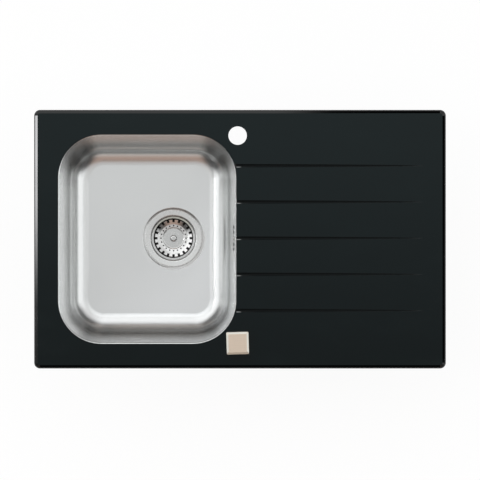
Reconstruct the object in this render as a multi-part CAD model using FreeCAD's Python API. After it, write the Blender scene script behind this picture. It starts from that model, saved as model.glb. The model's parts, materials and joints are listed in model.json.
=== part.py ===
"""Inset kitchen sink: black glass top, pressed steel bowl and pop-up basket waste.

Sizes are in millimetres. X runs along the sink to the drainer, Y to the tap side, Z up.
The origin is the middle of the glass outline, on the surface of the worktop.
"""

import math
import os

import FreeCAD
import Part

# Glass top
GLASS_LENGTH = 780.0
GLASS_DEPTH = 490.0
GLASS_THICKNESS = 6.0
GLASS_CORNER = 11.0
EDGE_WIDTH = 2.0
EDGE_DROP = 2.0
BEVEL_WIDTH = 4.5
BEVEL_DROP = 1.0
ARRIS = 0.6

# Worktop that the sink is set into, cut out so that the glass laps it all round
WORKTOP_LAP = 10.0
WORKTOP_THICKNESS = 30.0

# Sealing strip under the glass edge
STRIP_THICKNESS = 2.0
STRIP_WIDTH = 10.0
STRIP_INSET = 3.0

# Drainer grooves, cut by a wheel that leaves the glass at their far end
GROOVE_COUNT = 5
GROOVE_SIDE_MARGIN = 60.8
GROOVE_WHEEL = 4.0
GROOVE_DEPTH = 1.7
GROOVE_END_MARGIN = 41.5

# Pressed bowl, its rim clear of the side rail and of the two long rails
RIM_SIDE_CLEARANCE = 3.5
RIM_LONG_CLEARANCE = 5.0
BOWL_LENGTH = 337.0
BOWL_CORNER = 82.0
BOWL_DEPTH = 155.0
BOWL_SHEET = 0.8
BOWL_LIP = 2.0
BOWL_LIP_RADIUS = 2.4
BOWL_SIDE_TAPER = 15.0
BOWL_LONG_TAPER = 19.0
FLOOR_RADIUS = 38.0
BOWL_RIM = 12.0
RECESS_DROP = 2.5
RECESS_GAP = 1.0
RECESS_SLOPE_WIDTH = 2.6
RECESS_BEND = 1.5
BOND_THICKNESS = 1.0
BOND_INSET = 1.0
BOND_SETBACK = 2.0
PAD_LENGTH = 84.0
PAD_WIDTH = 170.0
PAD_CORNER = 12.0
PAD_THICKNESS = 2.5
PAD_GAP = 14.0

# Holes in the glass for the tap and the control, just right of the bowl's opening
HOLE_OFFSET = 3.0
NUT_RAIL_CLEARANCE = 1.43
TAP_HOLE_RADIUS = 17.5
CONTROL_HOLE_CLEARANCE = 0.5

# Line of the waste, the overflow and the middle groove
SERVICE_Y = 2.0
WASTE_INSET = 122.0

# Fits
RUNNING_GAP = 0.05
SEAT_GAP = 0.05
FREE_GAP = 0.3

# Waste flange and cup
CUP_RADIUS = 39.4
SEAT_WIDTH = 3.8
WASTE_HOLE_CLEARANCE = 1.8
FLANGE_WIDTH = 12.4
FLANGE_RISE = 2.2
FLANGE_FALL = 0.4
FLANGE_LIFT = 0.2
FLANGE_EDGE_RADIUS = 1.2
CUP_SHEET = 1.2
WELL_EDGE_RADIUS = 2.6
SEAT_DROP = 8.0
CUP_DEPTH = 38.0
CUP_CORNER = 7.0
CUP_PORT_COUNT = 6
CUP_PORT_RADIUS = 7.0
CUP_PORT_CIRCLE = 23.0
FLANGE_SEAL_WIDTH = 6.0
BODY_SEAL_THICKNESS = 1.5

# Strainer basket
BASKET_SHEET = 0.8
BASKET_RIM_CLEARANCE = 0.5
BASKET_RIM_HEIGHT = 1.8
BASKET_MOUTH_INSET = 1.6
BASKET_FOOT_INSET = 2.2
BASKET_CORNER = 2.5
BASKET_BAND_WIDTH = 9.8
BASKET_BAND_RISE = 3.6
BASKET_BEND = 6.0
BASKET_FLOOR_DROP = 16.0
BASKET_RING_WIDTH = 5.8
BASKET_RING_FALL = 0.6
DISH_SLOPE_WIDTH = 2.2
DISH_DROP = 1.4
DISH_BEND = 2.0
BASKET_OPENINGS = 20
BASKET_SLOT_WIDTH = 4.5
BASKET_SLOT_TOP = 2.2
BASKET_SLOT_REACH = 6.0
BASKET_HOLE_RADIUS = 1.4
BASKET_HOLE_INSET = 3.0
BASKET_SEAL_THICKNESS = 2.0
BASKET_SEAL_INSET = 0.4
BASKET_TONGUE = 0.7
BUTTON_RADIUS = 6.5
BUTTON_NECK_RADIUS = 4.4
BUTTON_HEIGHT = 8.0
BUTTON_HEAD = 4.0
BUTTON_CROWN = 3.0
STEM_RADIUS = 7.0
STEM_CLEARANCE = 1.7
STEM_CROWN = 2.0
STEM_STUD_RADIUS = 2.0
STEM_STUD_GRIP = 5.0

# Lift pin and the hollow screw that guides it
PIN_RADIUS = 3.5
PIN_COLLAR_RADIUS = 5.2
PIN_COLLAR_HEIGHT = 2.0
PIN_NOSE = 3.5
PIN_END_DROP = 67.0
GUIDE_SCREW_RADIUS = 6.0
GUIDE_HEAD_RADIUS = 9.0
GUIDE_HEAD_HEIGHT = 3.5
GUIDE_LENGTH = 12.0

# Waste body
BODY_RADIUS = 51.0
BODY_WALL = 2.6
BODY_RIM_LIP = 4.2
BODY_RIM_HEIGHT = 5.5
CONE_ABOVE_PIN = 14.0
CONE_BELOW_PIN = 14.0
OUTLET_NECK = 2.0
OUTLET_LENGTH = 31.0
OUTLET_RADIUS = 23.9
OUTLET_WALL = 3.2
SPIDER_COUNT = 3
SPIDER_THICKNESS = 4.0
SPIDER_HEIGHT = 9.0
SPIDER_BOSS_RADIUS = 11.0
INLET_DROP = 27.0
NOZZLE_RADIUS = 9.0
NOZZLE_BORE = 7.0
NOZZLE_LENGTH = 24.0

# Lever through the wall of the waste body
FINGER_LENGTH = 20.0
FINGER_TIP_RADIUS = 3.5
FINGER_THICKNESS = 4.0
FINGER_WIDTH = 8.0
FINGER_HUB_RADIUS = 6.0
LEVER_REST_ANGLE = -15.0
LIFT_GAP = 0.1
SHAFT_RADIUS = 3.0
SHAFT_TAIL = 6.0
SHAFT_BOSS_RADIUS = 8.0
SHAFT_BOSS_STANDOFF = 5.0
SEAL_POCKET_RADIUS = 5.2
SEAL_POCKET_DEPTH = 3.0
GLAND_FLATS = 20.0
GLAND_LENGTH = 10.0
GLAND_CAP = 2.4
CRANK_RADIUS = 27.0
CRANK_THICKNESS = 5.0
CRANK_HUB_RADIUS = 6.5
CRANK_EYE_RADIUS = 5.0
CRANK_SLOT = 2.0
CRANK_STANDOFF = 4.0
CRANK_SCREW_RADIUS = 4.6
CRANK_SCREW_HEIGHT = 3.0

# Control cable
SHEATH_RADIUS = 2.5
SHEATH_BORE = 1.1
WIRE_RADIUS = 0.7
NIPPLE_RADIUS = 2.2
FERRULE_RADIUS = 3.5
FERRULE_LENGTH = 16.0
STOP_LENGTH = 12.0
STOP_SHOULDER = 3.0
STOP_WIDTH = 12.0
STOP_OFFSET = 46.0
ARM_HEIGHT = 10.0
WIRE_END_LENGTH = 52.0
CABLE_BEND = 38.0

# Overflow behind the right wall
OVERFLOW_DROP = 25.0
OVERFLOW_LENGTH = 64.0
OVERFLOW_HEIGHT = 36.0
OVERFLOW_DEPTH = 26.0
NOZZLE_STANDOFF = 16.0
OVERFLOW_CORNER = 10.0
OVERFLOW_WALL = 3.0
GASKET_THICKNESS = 1.5
SLOT_OFFSETS = (-21.2, -11.6, 11.6, 21.2)
SLOT_WIDTH = 4.6
SLOT_HEIGHT = 22.0
OVERFLOW_SCREW_RADIUS = 2.0
OVERFLOW_SCREW_HEAD = 4.6
OVERFLOW_SCREW_CROWN = 2.0
OVERFLOW_SCREW_GRIP = 12.0
SCREW_BOSS_RADIUS = 5.0

# Ribbed overflow hose
HOSE_BORE = 9.2
HOSE_CUFF_RADIUS = 11.0
HOSE_CUFF_LENGTH = 23.0
HOSE_VALLEY_RADIUS = 10.4
HOSE_CREST_RADIUS = 12.6
HOSE_RIB_PITCH = 4.2
HOSE_RIB_FLANK = 1.0
HOSE_RIB_CREST = 1.2
HOSE_STRAIGHT = 27.5
HOSE_STANDOFF = 1.0
CLIP_BAND_WIDTH = 9.0
CLIP_BAND_THICKNESS = 0.9
CLIP_BLOCK_LENGTH = 11.0
CLIP_BLOCK_HEIGHT = 6.0

# Square control knob and its bearing
KNOB_SIDE = 42.0
KNOB_HEIGHT = 22.0
KNOB_CORNER = 2.2
KNOB_BEVEL_WIDTH = 3.8
KNOB_BEVEL_DROP = 1.5
KNOB_EDGE = 0.4
KNOB_GAP = 1.0
KNOB_RECESS_RADIUS = 18.5
KNOB_RECESS_DEPTH = 4.5
KNOB_BORE_DEPTH = 12.0
KNOB_REST_TURN = 1.7
SPINDLE_RADIUS = 5.0
SPINDLE_FLAT = 1.0
SPINDLE_FLAT_LENGTH = 10.0
KNOB_SCREW_RADIUS = 2.0
KNOB_SCREW_LENGTH = 9.0
BUSH_RADIUS = 12.0
BUSH_FLANGE_RADIUS = 17.0
BUSH_FLANGE_HEIGHT = 2.5
BUSH_END = 14.0
BUSH_WASHER_THICKNESS = 1.0
NUT_WASHER_THICKNESS = 1.5
NUT_WASHER_RADIUS = 16.5
CONTROL_NUT_FLATS = 30.0
CONTROL_NUT_HEIGHT = 7.0

# Cable drum and its housing
DRUM_PITCH_RADIUS = 9.0
DRUM_FLANGE_RADIUS = 11.0
DRUM_HEIGHT = 10.0
DRUM_GROOVE_WIDTH = 2.4
DRUM_WRAP = 115.0
DRUM_CLEARANCE = 1.5
DRUM_SCREW_RADIUS = 6.4
DRUM_SCREW_HEIGHT = 2.4
HOUSING_RADIUS = 16.5
HOUSING_WALL = 2.5
HOUSING_COLLAR = 6.5
HOUSING_COLLAR_RADIUS = 15.5
COVER_THICKNESS = 3.0
CABLE_BOSS_RADIUS = 5.5
CABLE_BOSS_END = 30.0
CABLE_SHOULDER = 18.0

# Fixing rails and clips
RAIL_WIDTH = 14.0
RAIL_DROP = 12.0
RAIL_SHEET = 1.5
RAIL_BEND = 2.5
RAIL_GAP = 6.0
LONG_RAIL_END = 30.0
SHORT_RAIL_END = 40.0
CLIP_LEFT_INSET = 80.0
CLIP_MIDDLE_OFFSET = 97.5
CLIP_RIGHT_INSET = 60.0
STUD_RADIUS = 2.5
STUD_TAIL = 4.0
CLAW_REACH = 22.0
CLAW_HEEL = 8.0
CLAW_WIDTH = 14.0
CLAW_SHEET = 2.0
CLAW_STEP = 5.0
CLAW_STEP_RUN = 4.0
CLAW_TIP = 6.0
CLAW_GAP = 0.5
WASHER_RADIUS = 6.0
WASHER_THICKNESS = 1.0
NUT_HUB_RADIUS = 4.8
NUT_HUB_HEIGHT = 6.0
NUT_WING_REACH = 11.0
NUT_WING_RISE = 4.0
NUT_WING_THICKNESS = 2.4

# Plan sizes and places that follow from the sizes above
CUTOUT_LENGTH = GLASS_LENGTH - 2 * WORKTOP_LAP
CUTOUT_DEPTH = GLASS_DEPTH - 2 * WORKTOP_LAP
RAIL_INSET = WORKTOP_LAP + RAIL_GAP + RAIL_WIDTH
BOWL_MARGIN = RAIL_INSET + RIM_SIDE_CLEARANCE + BOWL_RIM
BOWL_FRAME = RAIL_INSET + RIM_LONG_CLEARANCE + BOWL_RIM
BOWL_WIDTH = GLASS_DEPTH - 2 * BOWL_FRAME
BOWL_X = -GLASS_LENGTH / 2 + BOWL_MARGIN + BOWL_LENGTH / 2
BOWL_RIGHT = BOWL_X + BOWL_LENGTH / 2
HOLE_X = BOWL_RIGHT + HOLE_OFFSET
NUT_CORNER_RADIUS = CONTROL_NUT_FLATS / 2 / math.cos(math.radians(30))
HOLE_Y = GLASS_DEPTH / 2 - RAIL_INSET - NUT_RAIL_CLEARANCE - NUT_CORNER_RADIUS
WASTE_X = BOWL_RIGHT - WASTE_INSET
GROOVE_PITCH = (BOWL_WIDTH - 2 * GROOVE_SIDE_MARGIN) / (GROOVE_COUNT - 1)
LONG_RAIL_LENGTH = CUTOUT_LENGTH - 2 * LONG_RAIL_END
SHORT_RAIL_LENGTH = CUTOUT_DEPTH - 2 * SHORT_RAIL_END

# Radii of the waste, from the cup and the body outwards and inwards
WELL_RADIUS = CUP_RADIUS + SEAT_WIDTH
WASTE_HOLE_RADIUS = WELL_RADIUS + CUP_SHEET + WASTE_HOLE_CLEARANCE
FLANGE_RADIUS = WELL_RADIUS + FLANGE_WIDTH
RECESS_FOOT_RADIUS = FLANGE_RADIUS + RECESS_GAP
RECESS_EDGE_RADIUS = RECESS_FOOT_RADIUS + RECESS_SLOPE_WIDTH
BASKET_RIM_RADIUS = WELL_RADIUS - BASKET_RIM_CLEARANCE
BASKET_MOUTH_RADIUS = CUP_RADIUS - BASKET_MOUTH_INSET
BASKET_FOOT_RADIUS = CUP_RADIUS - BASKET_FOOT_INSET
BASKET_RING_RADIUS = BASKET_FOOT_RADIUS - BASKET_BAND_WIDTH
BASKET_HOLE_CIRCLE = BASKET_RING_RADIUS - BASKET_HOLE_INSET
DISH_EDGE_RADIUS = BASKET_RING_RADIUS - BASKET_RING_WIDTH
DISH_RADIUS = DISH_EDGE_RADIUS - DISH_SLOPE_WIDTH
BODY_RIM_RADIUS = BODY_RADIUS + BODY_RIM_LIP
SHAFT_BOSS_REACH = BODY_RADIUS + SHAFT_BOSS_STANDOFF

# Drops below the waste recess that follow the lift pin's end
BODY_CONE_START = PIN_END_DROP - CONE_ABOVE_PIN
BODY_CONE_END = PIN_END_DROP + CONE_BELOW_PIN
BODY_NECK_END = BODY_CONE_END + OUTLET_NECK
OUTLET_END = BODY_CONE_END + OUTLET_LENGTH

# Heights that follow from the sizes above
GLASS_BOTTOM = STRIP_THICKNESS
GLASS_TOP = GLASS_BOTTOM + GLASS_THICKNESS
BOWL_TOP = GLASS_BOTTOM - BOND_THICKNESS
FLOOR = GLASS_TOP - BOWL_DEPTH
FLOOR_UNDER = FLOOR - BOWL_SHEET
RECESS = FLOOR - RECESS_DROP
RECESS_UNDER = RECESS - BOWL_SHEET
BODY_TOP = RECESS_UNDER - BODY_SEAL_THICKNESS
CUP_FLOOR = RECESS - CUP_DEPTH
CUP_UNDER = CUP_FLOOR - CUP_SHEET
BASKET_SEAT = RECESS - SEAT_DROP + BASKET_SEAL_THICKNESS
BASKET_FLOOR = BASKET_SEAT - BASKET_FLOOR_DROP
DISH_EDGE = BASKET_FLOOR - BASKET_RING_FALL
DISH_FLOOR = DISH_EDGE - DISH_DROP
STEM_TOP = DISH_FLOOR - BASKET_SHEET
STEM_END = CUP_FLOOR + GUIDE_HEAD_HEIGHT + STEM_CLEARANCE
SOCKET_TOP = STEM_TOP - STEM_CROWN
PIN_END = RECESS - PIN_END_DROP
PIN_COLLAR = PIN_END + PIN_NOSE
PIN_TOP = SOCKET_TOP - FREE_GAP
GUIDE_END = CUP_FLOOR - GUIDE_LENGTH
SPIDER_TOP = CUP_UNDER - SEAT_GAP
INLET_Z = RECESS - INLET_DROP

# Lever axis, set so that the finger's tip meets the lift pin at rest
SHAFT_X = WASTE_X + FINGER_LENGTH * math.cos(math.radians(LEVER_REST_ANGLE))
SHAFT_Z = (
    PIN_END - LIFT_GAP - FINGER_TIP_RADIUS
    - FINGER_LENGTH * math.sin(math.radians(LEVER_REST_ANGLE))
)
BOSS_FACE_Y = SERVICE_Y - SHAFT_BOSS_REACH
CRANK_INNER_Y = BOSS_FACE_Y - GLAND_CAP - CRANK_STANDOFF
CRANK_Y = CRANK_INNER_Y - CRANK_THICKNESS / 2
WIRE_Z = SHAFT_Z + CRANK_RADIUS * (1 + math.cos(math.radians(LEVER_REST_ANGLE))) / 2
STOP_X = WASTE_X + STOP_OFFSET
SHEATH_END_X = STOP_X + STOP_SHOULDER

# Control axis and the heights under the knob
KNOB_BOTTOM = GLASS_TOP + KNOB_GAP
KNOB_RECESS_TOP = KNOB_BOTTOM + KNOB_RECESS_DEPTH
SPINDLE_TOP = KNOB_RECESS_TOP + KNOB_BORE_DEPTH - FREE_GAP
BUSH_SEAT = GLASS_TOP + BUSH_WASHER_THICKNESS
BUSH_BOTTOM = -BUSH_END
CAVITY_TOP = BUSH_BOTTOM - HOUSING_WALL
DRUM_TOP = CAVITY_TOP - DRUM_CLEARANCE
DRUM_BOTTOM = DRUM_TOP - DRUM_HEIGHT
CABLE_Z = (DRUM_TOP + DRUM_BOTTOM) / 2
CAVITY_BOTTOM = DRUM_BOTTOM - DRUM_SCREW_HEIGHT - DRUM_CLEARANCE
CABLE_X = HOLE_X + DRUM_PITCH_RADIUS
CABLE_START_Y = -HOLE_Y + CABLE_SHOULDER

# Clip heights
CLAW_TOP = -WORKTOP_THICKNESS - CLAW_GAP - CLAW_STEP
CLAW_UNDER = CLAW_TOP - CLAW_SHEET
WASHER_UNDER = CLAW_UNDER - SEAT_GAP - WASHER_THICKNESS
NUT_UNDER = WASHER_UNDER - NUT_HUB_HEIGHT
STUD_END = NUT_UNDER - STUD_TAIL
RAIL_UNDER = GLASS_BOTTOM - RAIL_SHEET

# Lean of the bowl's right wall, and the overflow's place on its outer face
WALL_LEAN = math.degrees(math.atan2(BOWL_SIDE_TAPER, BOWL_TOP - FLOOR_UNDER))
OVERFLOW_Z = BOWL_TOP - OVERFLOW_DROP
OVERFLOW_X = (
    BOWL_RIGHT - BOWL_LIP + BOWL_SHEET
    - OVERFLOW_DROP * BOWL_SIDE_TAPER / (BOWL_TOP - FLOOR_UNDER)
)

X_AXIS = FreeCAD.Vector(1, 0, 0)
Y_AXIS = FreeCAD.Vector(0, 1, 0)
Z_AXIS = FreeCAD.Vector(0, 0, 1)


def point(x, y, z):
    return FreeCAD.Vector(x, y, z)


def rounded_wire(corners, place):
    """Closed wire through (u, v, radius) corners, each rounded by its own radius."""
    bends = []
    for index, (u, v, radius) in enumerate(corners):
        here = point(u, v, 0)
        last = point(*corners[index - 1][:2], 0)
        ahead = point(*corners[(index + 1) % len(corners)][:2], 0)
        if radius == 0:
            bends.append((here, here, here))
            continue
        back = (last - here).normalize()
        on = (ahead - here).normalize()
        half = back.getAngle(on) / 2
        reach = radius / math.tan(half)
        inward = (back + on).normalize()
        crown = here + inward * (radius / math.sin(half) - radius)
        bends.append((here + back * reach, crown, here + on * reach))
    edges = []
    for index, (start, crown, end) in enumerate(bends):
        if start != end:
            turn = [place(p.x, p.y) for p in (start, crown, end)]
            edges.append(Part.Arc(*turn).toShape())
        after = bends[(index + 1) % len(bends)][0]
        if (after - end).Length > 1e-6:
            edges.append(Part.makeLine(place(end.x, end.y), place(after.x, after.y)))
    return Part.Wire(edges)


def rectangle(x, y, length, width, radius):
    """Corners of a rounded rectangle about (x, y)."""
    right, left = x + length / 2, x - length / 2
    rear, front = y + width / 2, y - width / 2
    places = [(right, rear), (left, rear), (left, front), (right, front)]
    return [(u, v, radius) for u, v in places]


def outline(corners, z):
    return rounded_wire(corners, lambda u, v: point(u, v, z))


def block(corners, bottom, top):
    """Upright prism over a plan outline."""
    return Part.Face(outline(corners, bottom)).extrude(point(0, 0, top - bottom))


def turned(corners, x, y):
    """Solid turned about the upright line at (x, y) from a (radius, z) profile."""
    wire = rounded_wire(corners, lambda u, v: point(x + u, y, v))
    return Part.Face(wire).revolve(point(x, y, 0), Z_AXIS, 360)


def rod(radius, start, end):
    return Part.makeCylinder(radius, (end - start).Length, start, end - start)


def pipe(outer, inner, start, end):
    return rod(outer, start, end).cut(rod(inner, start, end))


def hexagon(flats, start, end):
    """Hexagonal bar from start to end."""
    corner = flats / 2 / math.cos(math.radians(30))
    ends = [
        point(corner * math.cos(turn), corner * math.sin(turn), 0)
        for turn in (math.radians(60 * step) for step in range(7))
    ]
    bar = Part.Face(Part.makePolygon(ends)).extrude(Z_AXIS * (end - start).Length)
    bar.Placement = FreeCAD.Placement(start, FreeCAD.Rotation(Z_AXIS, end - start))
    return bar


def joined(first, *others):
    return first.fuse(list(others)).removeSplitter()


def turned_copy(shape, centre, axis, angle):
    copy = shape.copy()
    copy.rotate(centre, axis, angle)
    return copy


def spread(shape, x, y, count):
    """Copies of a shape at equal turns about the upright line at (x, y)."""
    return [turned_copy(shape, point(x, y, 0), Z_AXIS, 360 * n / count) for n in range(count)]


def sheet(path, thickness):
    """Closed profile of a pressed sheet whose upper side follows the path's corners."""
    under = []
    for index, (u, v, radius) in enumerate(path):
        here = point(u, v, 0)
        ways = []
        if index > 0:
            ways.append((here - point(*path[index - 1][:2], 0)).normalize())
        if index < len(path) - 1:
            ways.append((point(*path[index + 1][:2], 0) - here).normalize())
        normals = [point(-way.y, way.x, 0) for way in ways]
        mitre = normals[0] + normals[-1]
        shift = mitre * (2 * thickness / mitre.dot(mitre))
        bend = ways[0].cross(ways[-1]).z
        inner = max(radius - thickness, 0)
        under_radius = 0 if radius == 0 else inner if bend > 0 else radius + thickness
        under.append((u + shift.x, v + shift.y, under_radius))
    return list(path) + under[::-1]


def route(corners, bend):
    """Open wire of straight runs joined by tangent arcs of one radius."""
    edges = []
    start = corners[0]
    for last, here, ahead in zip(corners, corners[1:], corners[2:]):
        back = (last - here).normalize()
        on = (ahead - here).normalize()
        half = back.getAngle(on) / 2
        reach = bend / math.tan(half)
        crown = here + (back + on).normalize() * (bend / math.sin(half) - bend)
        edges.append(Part.LineSegment(start, here + back * reach).toShape())
        edges.append(Part.Arc(here + back * reach, crown, here + on * reach).toShape())
        start = here + on * reach
    edges.append(Part.LineSegment(start, corners[-1]).toShape())
    return Part.Wire(edges)


def tube(path, radius):
    """Round bar along a route, compared with its section times its length."""
    first = path.OrderedEdges[0]
    way = first.tangentAt(first.FirstParameter)
    start = path.OrderedVertexes[0].Point
    section = Part.Wire(Part.makeCircle(radius, start, way))
    bar = path.makePipeShell([section], True, False)
    share = bar.Volume / (math.pi * radius ** 2 * path.Length)
    print(f"tube of radius {radius}: volume is {share:.4f} of section times length")
    return bar


# Glass top


def glass_corners(inset):
    return rectangle(
        0, 0, GLASS_LENGTH - 2 * inset, GLASS_DEPTH - 2 * inset, GLASS_CORNER - inset
    )


def bowl_corners(grow):
    """Outline of the bowl opening, moved out by grow."""
    return rectangle(
        BOWL_X, 0, BOWL_LENGTH + 2 * grow, BOWL_WIDTH + 2 * grow, BOWL_CORNER + grow
    )


def bowl_foot_corners(grow):
    """Outline on which the bowl's leaning walls would meet its floor, moved out by grow."""
    return rectangle(
        BOWL_X,
        0,
        BOWL_LENGTH + 2 * (grow - BOWL_LIP - BOWL_SIDE_TAPER),
        BOWL_WIDTH + 2 * (grow - BOWL_LIP - BOWL_LONG_TAPER),
        BOWL_CORNER + grow - BOWL_LIP - (BOWL_SIDE_TAPER + BOWL_LONG_TAPER) / 2,
    )


def groove_cutter(y):
    """Wheel path that sinks towards the bowl and runs out near the right edge."""
    end_x = GLASS_LENGTH / 2 - GROOVE_END_MARGIN
    start_x = BOWL_X
    slope = GROOVE_DEPTH / (end_x - BOWL_RIGHT)
    end = point(end_x, y, GLASS_TOP + GROOVE_WHEEL)
    start = point(start_x, y, GLASS_TOP + GROOVE_WHEEL - slope * (end_x - start_x))
    return rod(GROOVE_WHEEL, start, end)


def make_glass_top():
    levels = [
        (0, GLASS_BOTTOM),
        (0, GLASS_TOP - BEVEL_DROP - EDGE_DROP),
        (EDGE_WIDTH, GLASS_TOP - BEVEL_DROP),
        (EDGE_WIDTH + BEVEL_WIDTH, GLASS_TOP),
    ]
    sections = [outline(glass_corners(inset), z) for inset, z in levels]
    plate = Part.makeLoft(sections, True, True)
    opening = block(bowl_corners(0), GLASS_BOTTOM - 1, GLASS_TOP + 1)
    arris = Part.makeLoft(
        [
            outline(bowl_corners(0), GLASS_TOP - ARRIS),
            outline(bowl_corners(ARRIS), GLASS_TOP),
        ],
        True,
        True,
    )
    below, above = GLASS_BOTTOM - 1, GLASS_TOP + 1
    control_hole = BUSH_RADIUS + CONTROL_HOLE_CLEARANCE
    holes = [
        rod(TAP_HOLE_RADIUS, point(HOLE_X, HOLE_Y, below), point(HOLE_X, HOLE_Y, above)),
        rod(control_hole, point(HOLE_X, -HOLE_Y, below), point(HOLE_X, -HOLE_Y, above)),
    ]
    middle = (GROOVE_COUNT - 1) / 2
    grooves = [
        groove_cutter(SERVICE_Y + GROOVE_PITCH * (index - middle))
        for index in range(GROOVE_COUNT)
    ]
    return plate.cut([opening, arris] + holes + grooves)


def make_sealing_strip():
    outer = block(glass_corners(STRIP_INSET), 0, STRIP_THICKNESS)
    inner_corners = rectangle(
        0,
        0,
        GLASS_LENGTH - 2 * (STRIP_INSET + STRIP_WIDTH),
        GLASS_DEPTH - 2 * (STRIP_INSET + STRIP_WIDTH),
        0,
    )
    return outer.cut(block(inner_corners, 0, STRIP_THICKNESS))


# Bowl


def recess_form(grow):
    """Filled recess that the waste sits in, with soft edges, its faces moved out by grow."""
    reach = RECESS_EDGE_RADIUS + 2 * RECESS_BEND
    path = [
        (reach, FLOOR, 0),
        (RECESS_EDGE_RADIUS, FLOOR, RECESS_BEND),
        (RECESS_FOOT_RADIUS, RECESS, RECESS_BEND),
        (0, RECESS, 0),
    ]
    faces = sheet(path, grow)[len(path):][::-1]
    return turned([(0, FLOOR + 1, 0), (reach, FLOOR + 1, 0)] + faces, WASTE_X, SERVICE_Y)


def bowl_form(grow):
    """Filled bowl with drafted walls and a round floor corner, its faces moved out by grow."""
    bottom = FLOOR - grow
    form = Part.makeLoft(
        [
            outline(bowl_corners(grow - BOWL_LIP), BOWL_TOP),
            outline(bowl_foot_corners(grow), bottom),
        ],
        True,
        True,
    )
    floor_edges = [edge for edge in form.Edges if edge.BoundBox.ZMax < bottom + 0.01]
    return joined(form.makeFillet(FLOOR_RADIUS + grow, floor_edges), recess_form(grow))


def edges_round_opening(shape, z, grow):
    """Edges at height z that lie within the bowl opening's outline grown by grow."""
    reach = BOWL_WIDTH / 2 + grow
    return [
        edge
        for edge in shape.Edges
        if abs(edge.BoundBox.ZMin - z) < 0.01
        and edge.BoundBox.ZLength < 0.01
        and edge.BoundBox.YMax < reach
        and edge.BoundBox.YMin > -reach
        and abs(edge.CenterOfMass.x - BOWL_X) < BOWL_LENGTH / 2 + grow
    ]


def on_wall(shape):
    """Takes a shape from the overflow's own frame to the bowl's leaning right wall."""
    placed = turned_copy(shape, point(0, 0, 0), Y_AXIS, WALL_LEAN)
    placed.translate(point(OVERFLOW_X, SERVICE_Y, OVERFLOW_Z))
    return placed


def wall_plate(length, height, radius, start, end):
    """Rounded plate along the overflow's X, from start to end."""
    corners = rectangle(0, 0, length, height, radius)
    wire = rounded_wire(corners, lambda u, v: point(start, u, v))
    return Part.Face(wire).extrude(point(end - start, 0, 0))


def make_bowl():
    rim_under = BOWL_TOP - BOWL_SHEET
    rim = block(bowl_corners(BOWL_RIM), rim_under, BOWL_TOP)
    hat = joined(bowl_form(BOWL_SHEET), rim)
    hat = hat.makeFillet(BOWL_LIP_RADIUS - BOWL_SHEET, edges_round_opening(hat, rim_under, 0))
    shell = hat.cut(bowl_form(0))
    shell = shell.makeFillet(BOWL_LIP_RADIUS, edges_round_opening(shell, BOWL_TOP, 0))
    waste_hole = rod(
        WASTE_HOLE_RADIUS,
        point(WASTE_X, SERVICE_Y, RECESS_UNDER - 1),
        point(WASTE_X, SERVICE_Y, RECESS + 1),
    )
    cuts = [waste_hole]
    for offset in SLOT_OFFSETS:
        slot = wall_plate(SLOT_WIDTH, SLOT_HEIGHT, SLOT_WIDTH * 0.49, -5, 5)
        slot.translate(point(0, offset, 0))
        cuts.append(on_wall(slot))
    screw_hole = rod(OVERFLOW_SCREW_RADIUS + FREE_GAP, point(-5, 0, 0), point(5, 0, 0))
    cuts.append(on_wall(screw_hole))
    return shell.cut(cuts)


def make_bowl_bond():
    outer = block(bowl_corners(BOWL_RIM - BOND_INSET), BOWL_TOP, GLASS_BOTTOM)
    return outer.cut(block(bowl_corners(BOND_SETBACK), BOWL_TOP, GLASS_BOTTOM))


def make_sound_pad():
    x = WASTE_X - BODY_RIM_RADIUS - PAD_GAP - PAD_LENGTH / 2
    corners = rectangle(x, SERVICE_Y, PAD_LENGTH, PAD_WIDTH, PAD_CORNER)
    return block(corners, FLOOR_UNDER - PAD_THICKNESS, FLOOR_UNDER)


# Basket waste


def make_waste_flange():
    path = [
        (FLANGE_RADIUS, RECESS + FLANGE_LIFT, 0),
        (FLANGE_RADIUS, RECESS + FLANGE_RISE, FLANGE_EDGE_RADIUS),
        (WELL_RADIUS, RECESS + FLANGE_RISE - FLANGE_FALL, WELL_EDGE_RADIUS),
        (WELL_RADIUS, RECESS - SEAT_DROP, CUP_SHEET / 2),
        (CUP_RADIUS, RECESS - SEAT_DROP, CUP_SHEET * 1.5),
        (CUP_RADIUS, CUP_FLOOR, CUP_CORNER),
        (GUIDE_SCREW_RADIUS + FREE_GAP, CUP_FLOOR, 0),
    ]
    cup = turned(sheet(path, CUP_SHEET), WASTE_X, SERVICE_Y)
    port_x = WASTE_X + CUP_PORT_CIRCLE
    port = rod(
        CUP_PORT_RADIUS,
        point(port_x, SERVICE_Y, CUP_UNDER - 1),
        point(port_x, SERVICE_Y, CUP_FLOOR + 1),
    )
    return cup.cut(spread(port, WASTE_X, SERVICE_Y, CUP_PORT_COUNT))


def flange_under(radius):
    """Height of the flange's underside at a radius."""
    slope = FLANGE_FALL / (FLANGE_RADIUS - WELL_RADIUS)
    return RECESS + FLANGE_RISE - slope * (FLANGE_RADIUS - radius) - CUP_SHEET


def make_flange_seal():
    outer = FLANGE_RADIUS - CUP_SHEET * 2
    inner = outer - FLANGE_SEAL_WIDTH
    profile = [
        (inner, RECESS, 0),
        (outer, RECESS, 0),
        (outer, flange_under(outer) - SEAT_GAP, 0),
        (inner, flange_under(inner) - SEAT_GAP, 0),
    ]
    return turned(profile, WASTE_X, SERVICE_Y)


def make_body_seal():
    return pipe(
        BODY_RIM_RADIUS,
        BODY_RADIUS - BODY_WALL,
        point(WASTE_X, SERVICE_Y, BODY_TOP),
        point(WASTE_X, SERVICE_Y, RECESS_UNDER),
    )


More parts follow.
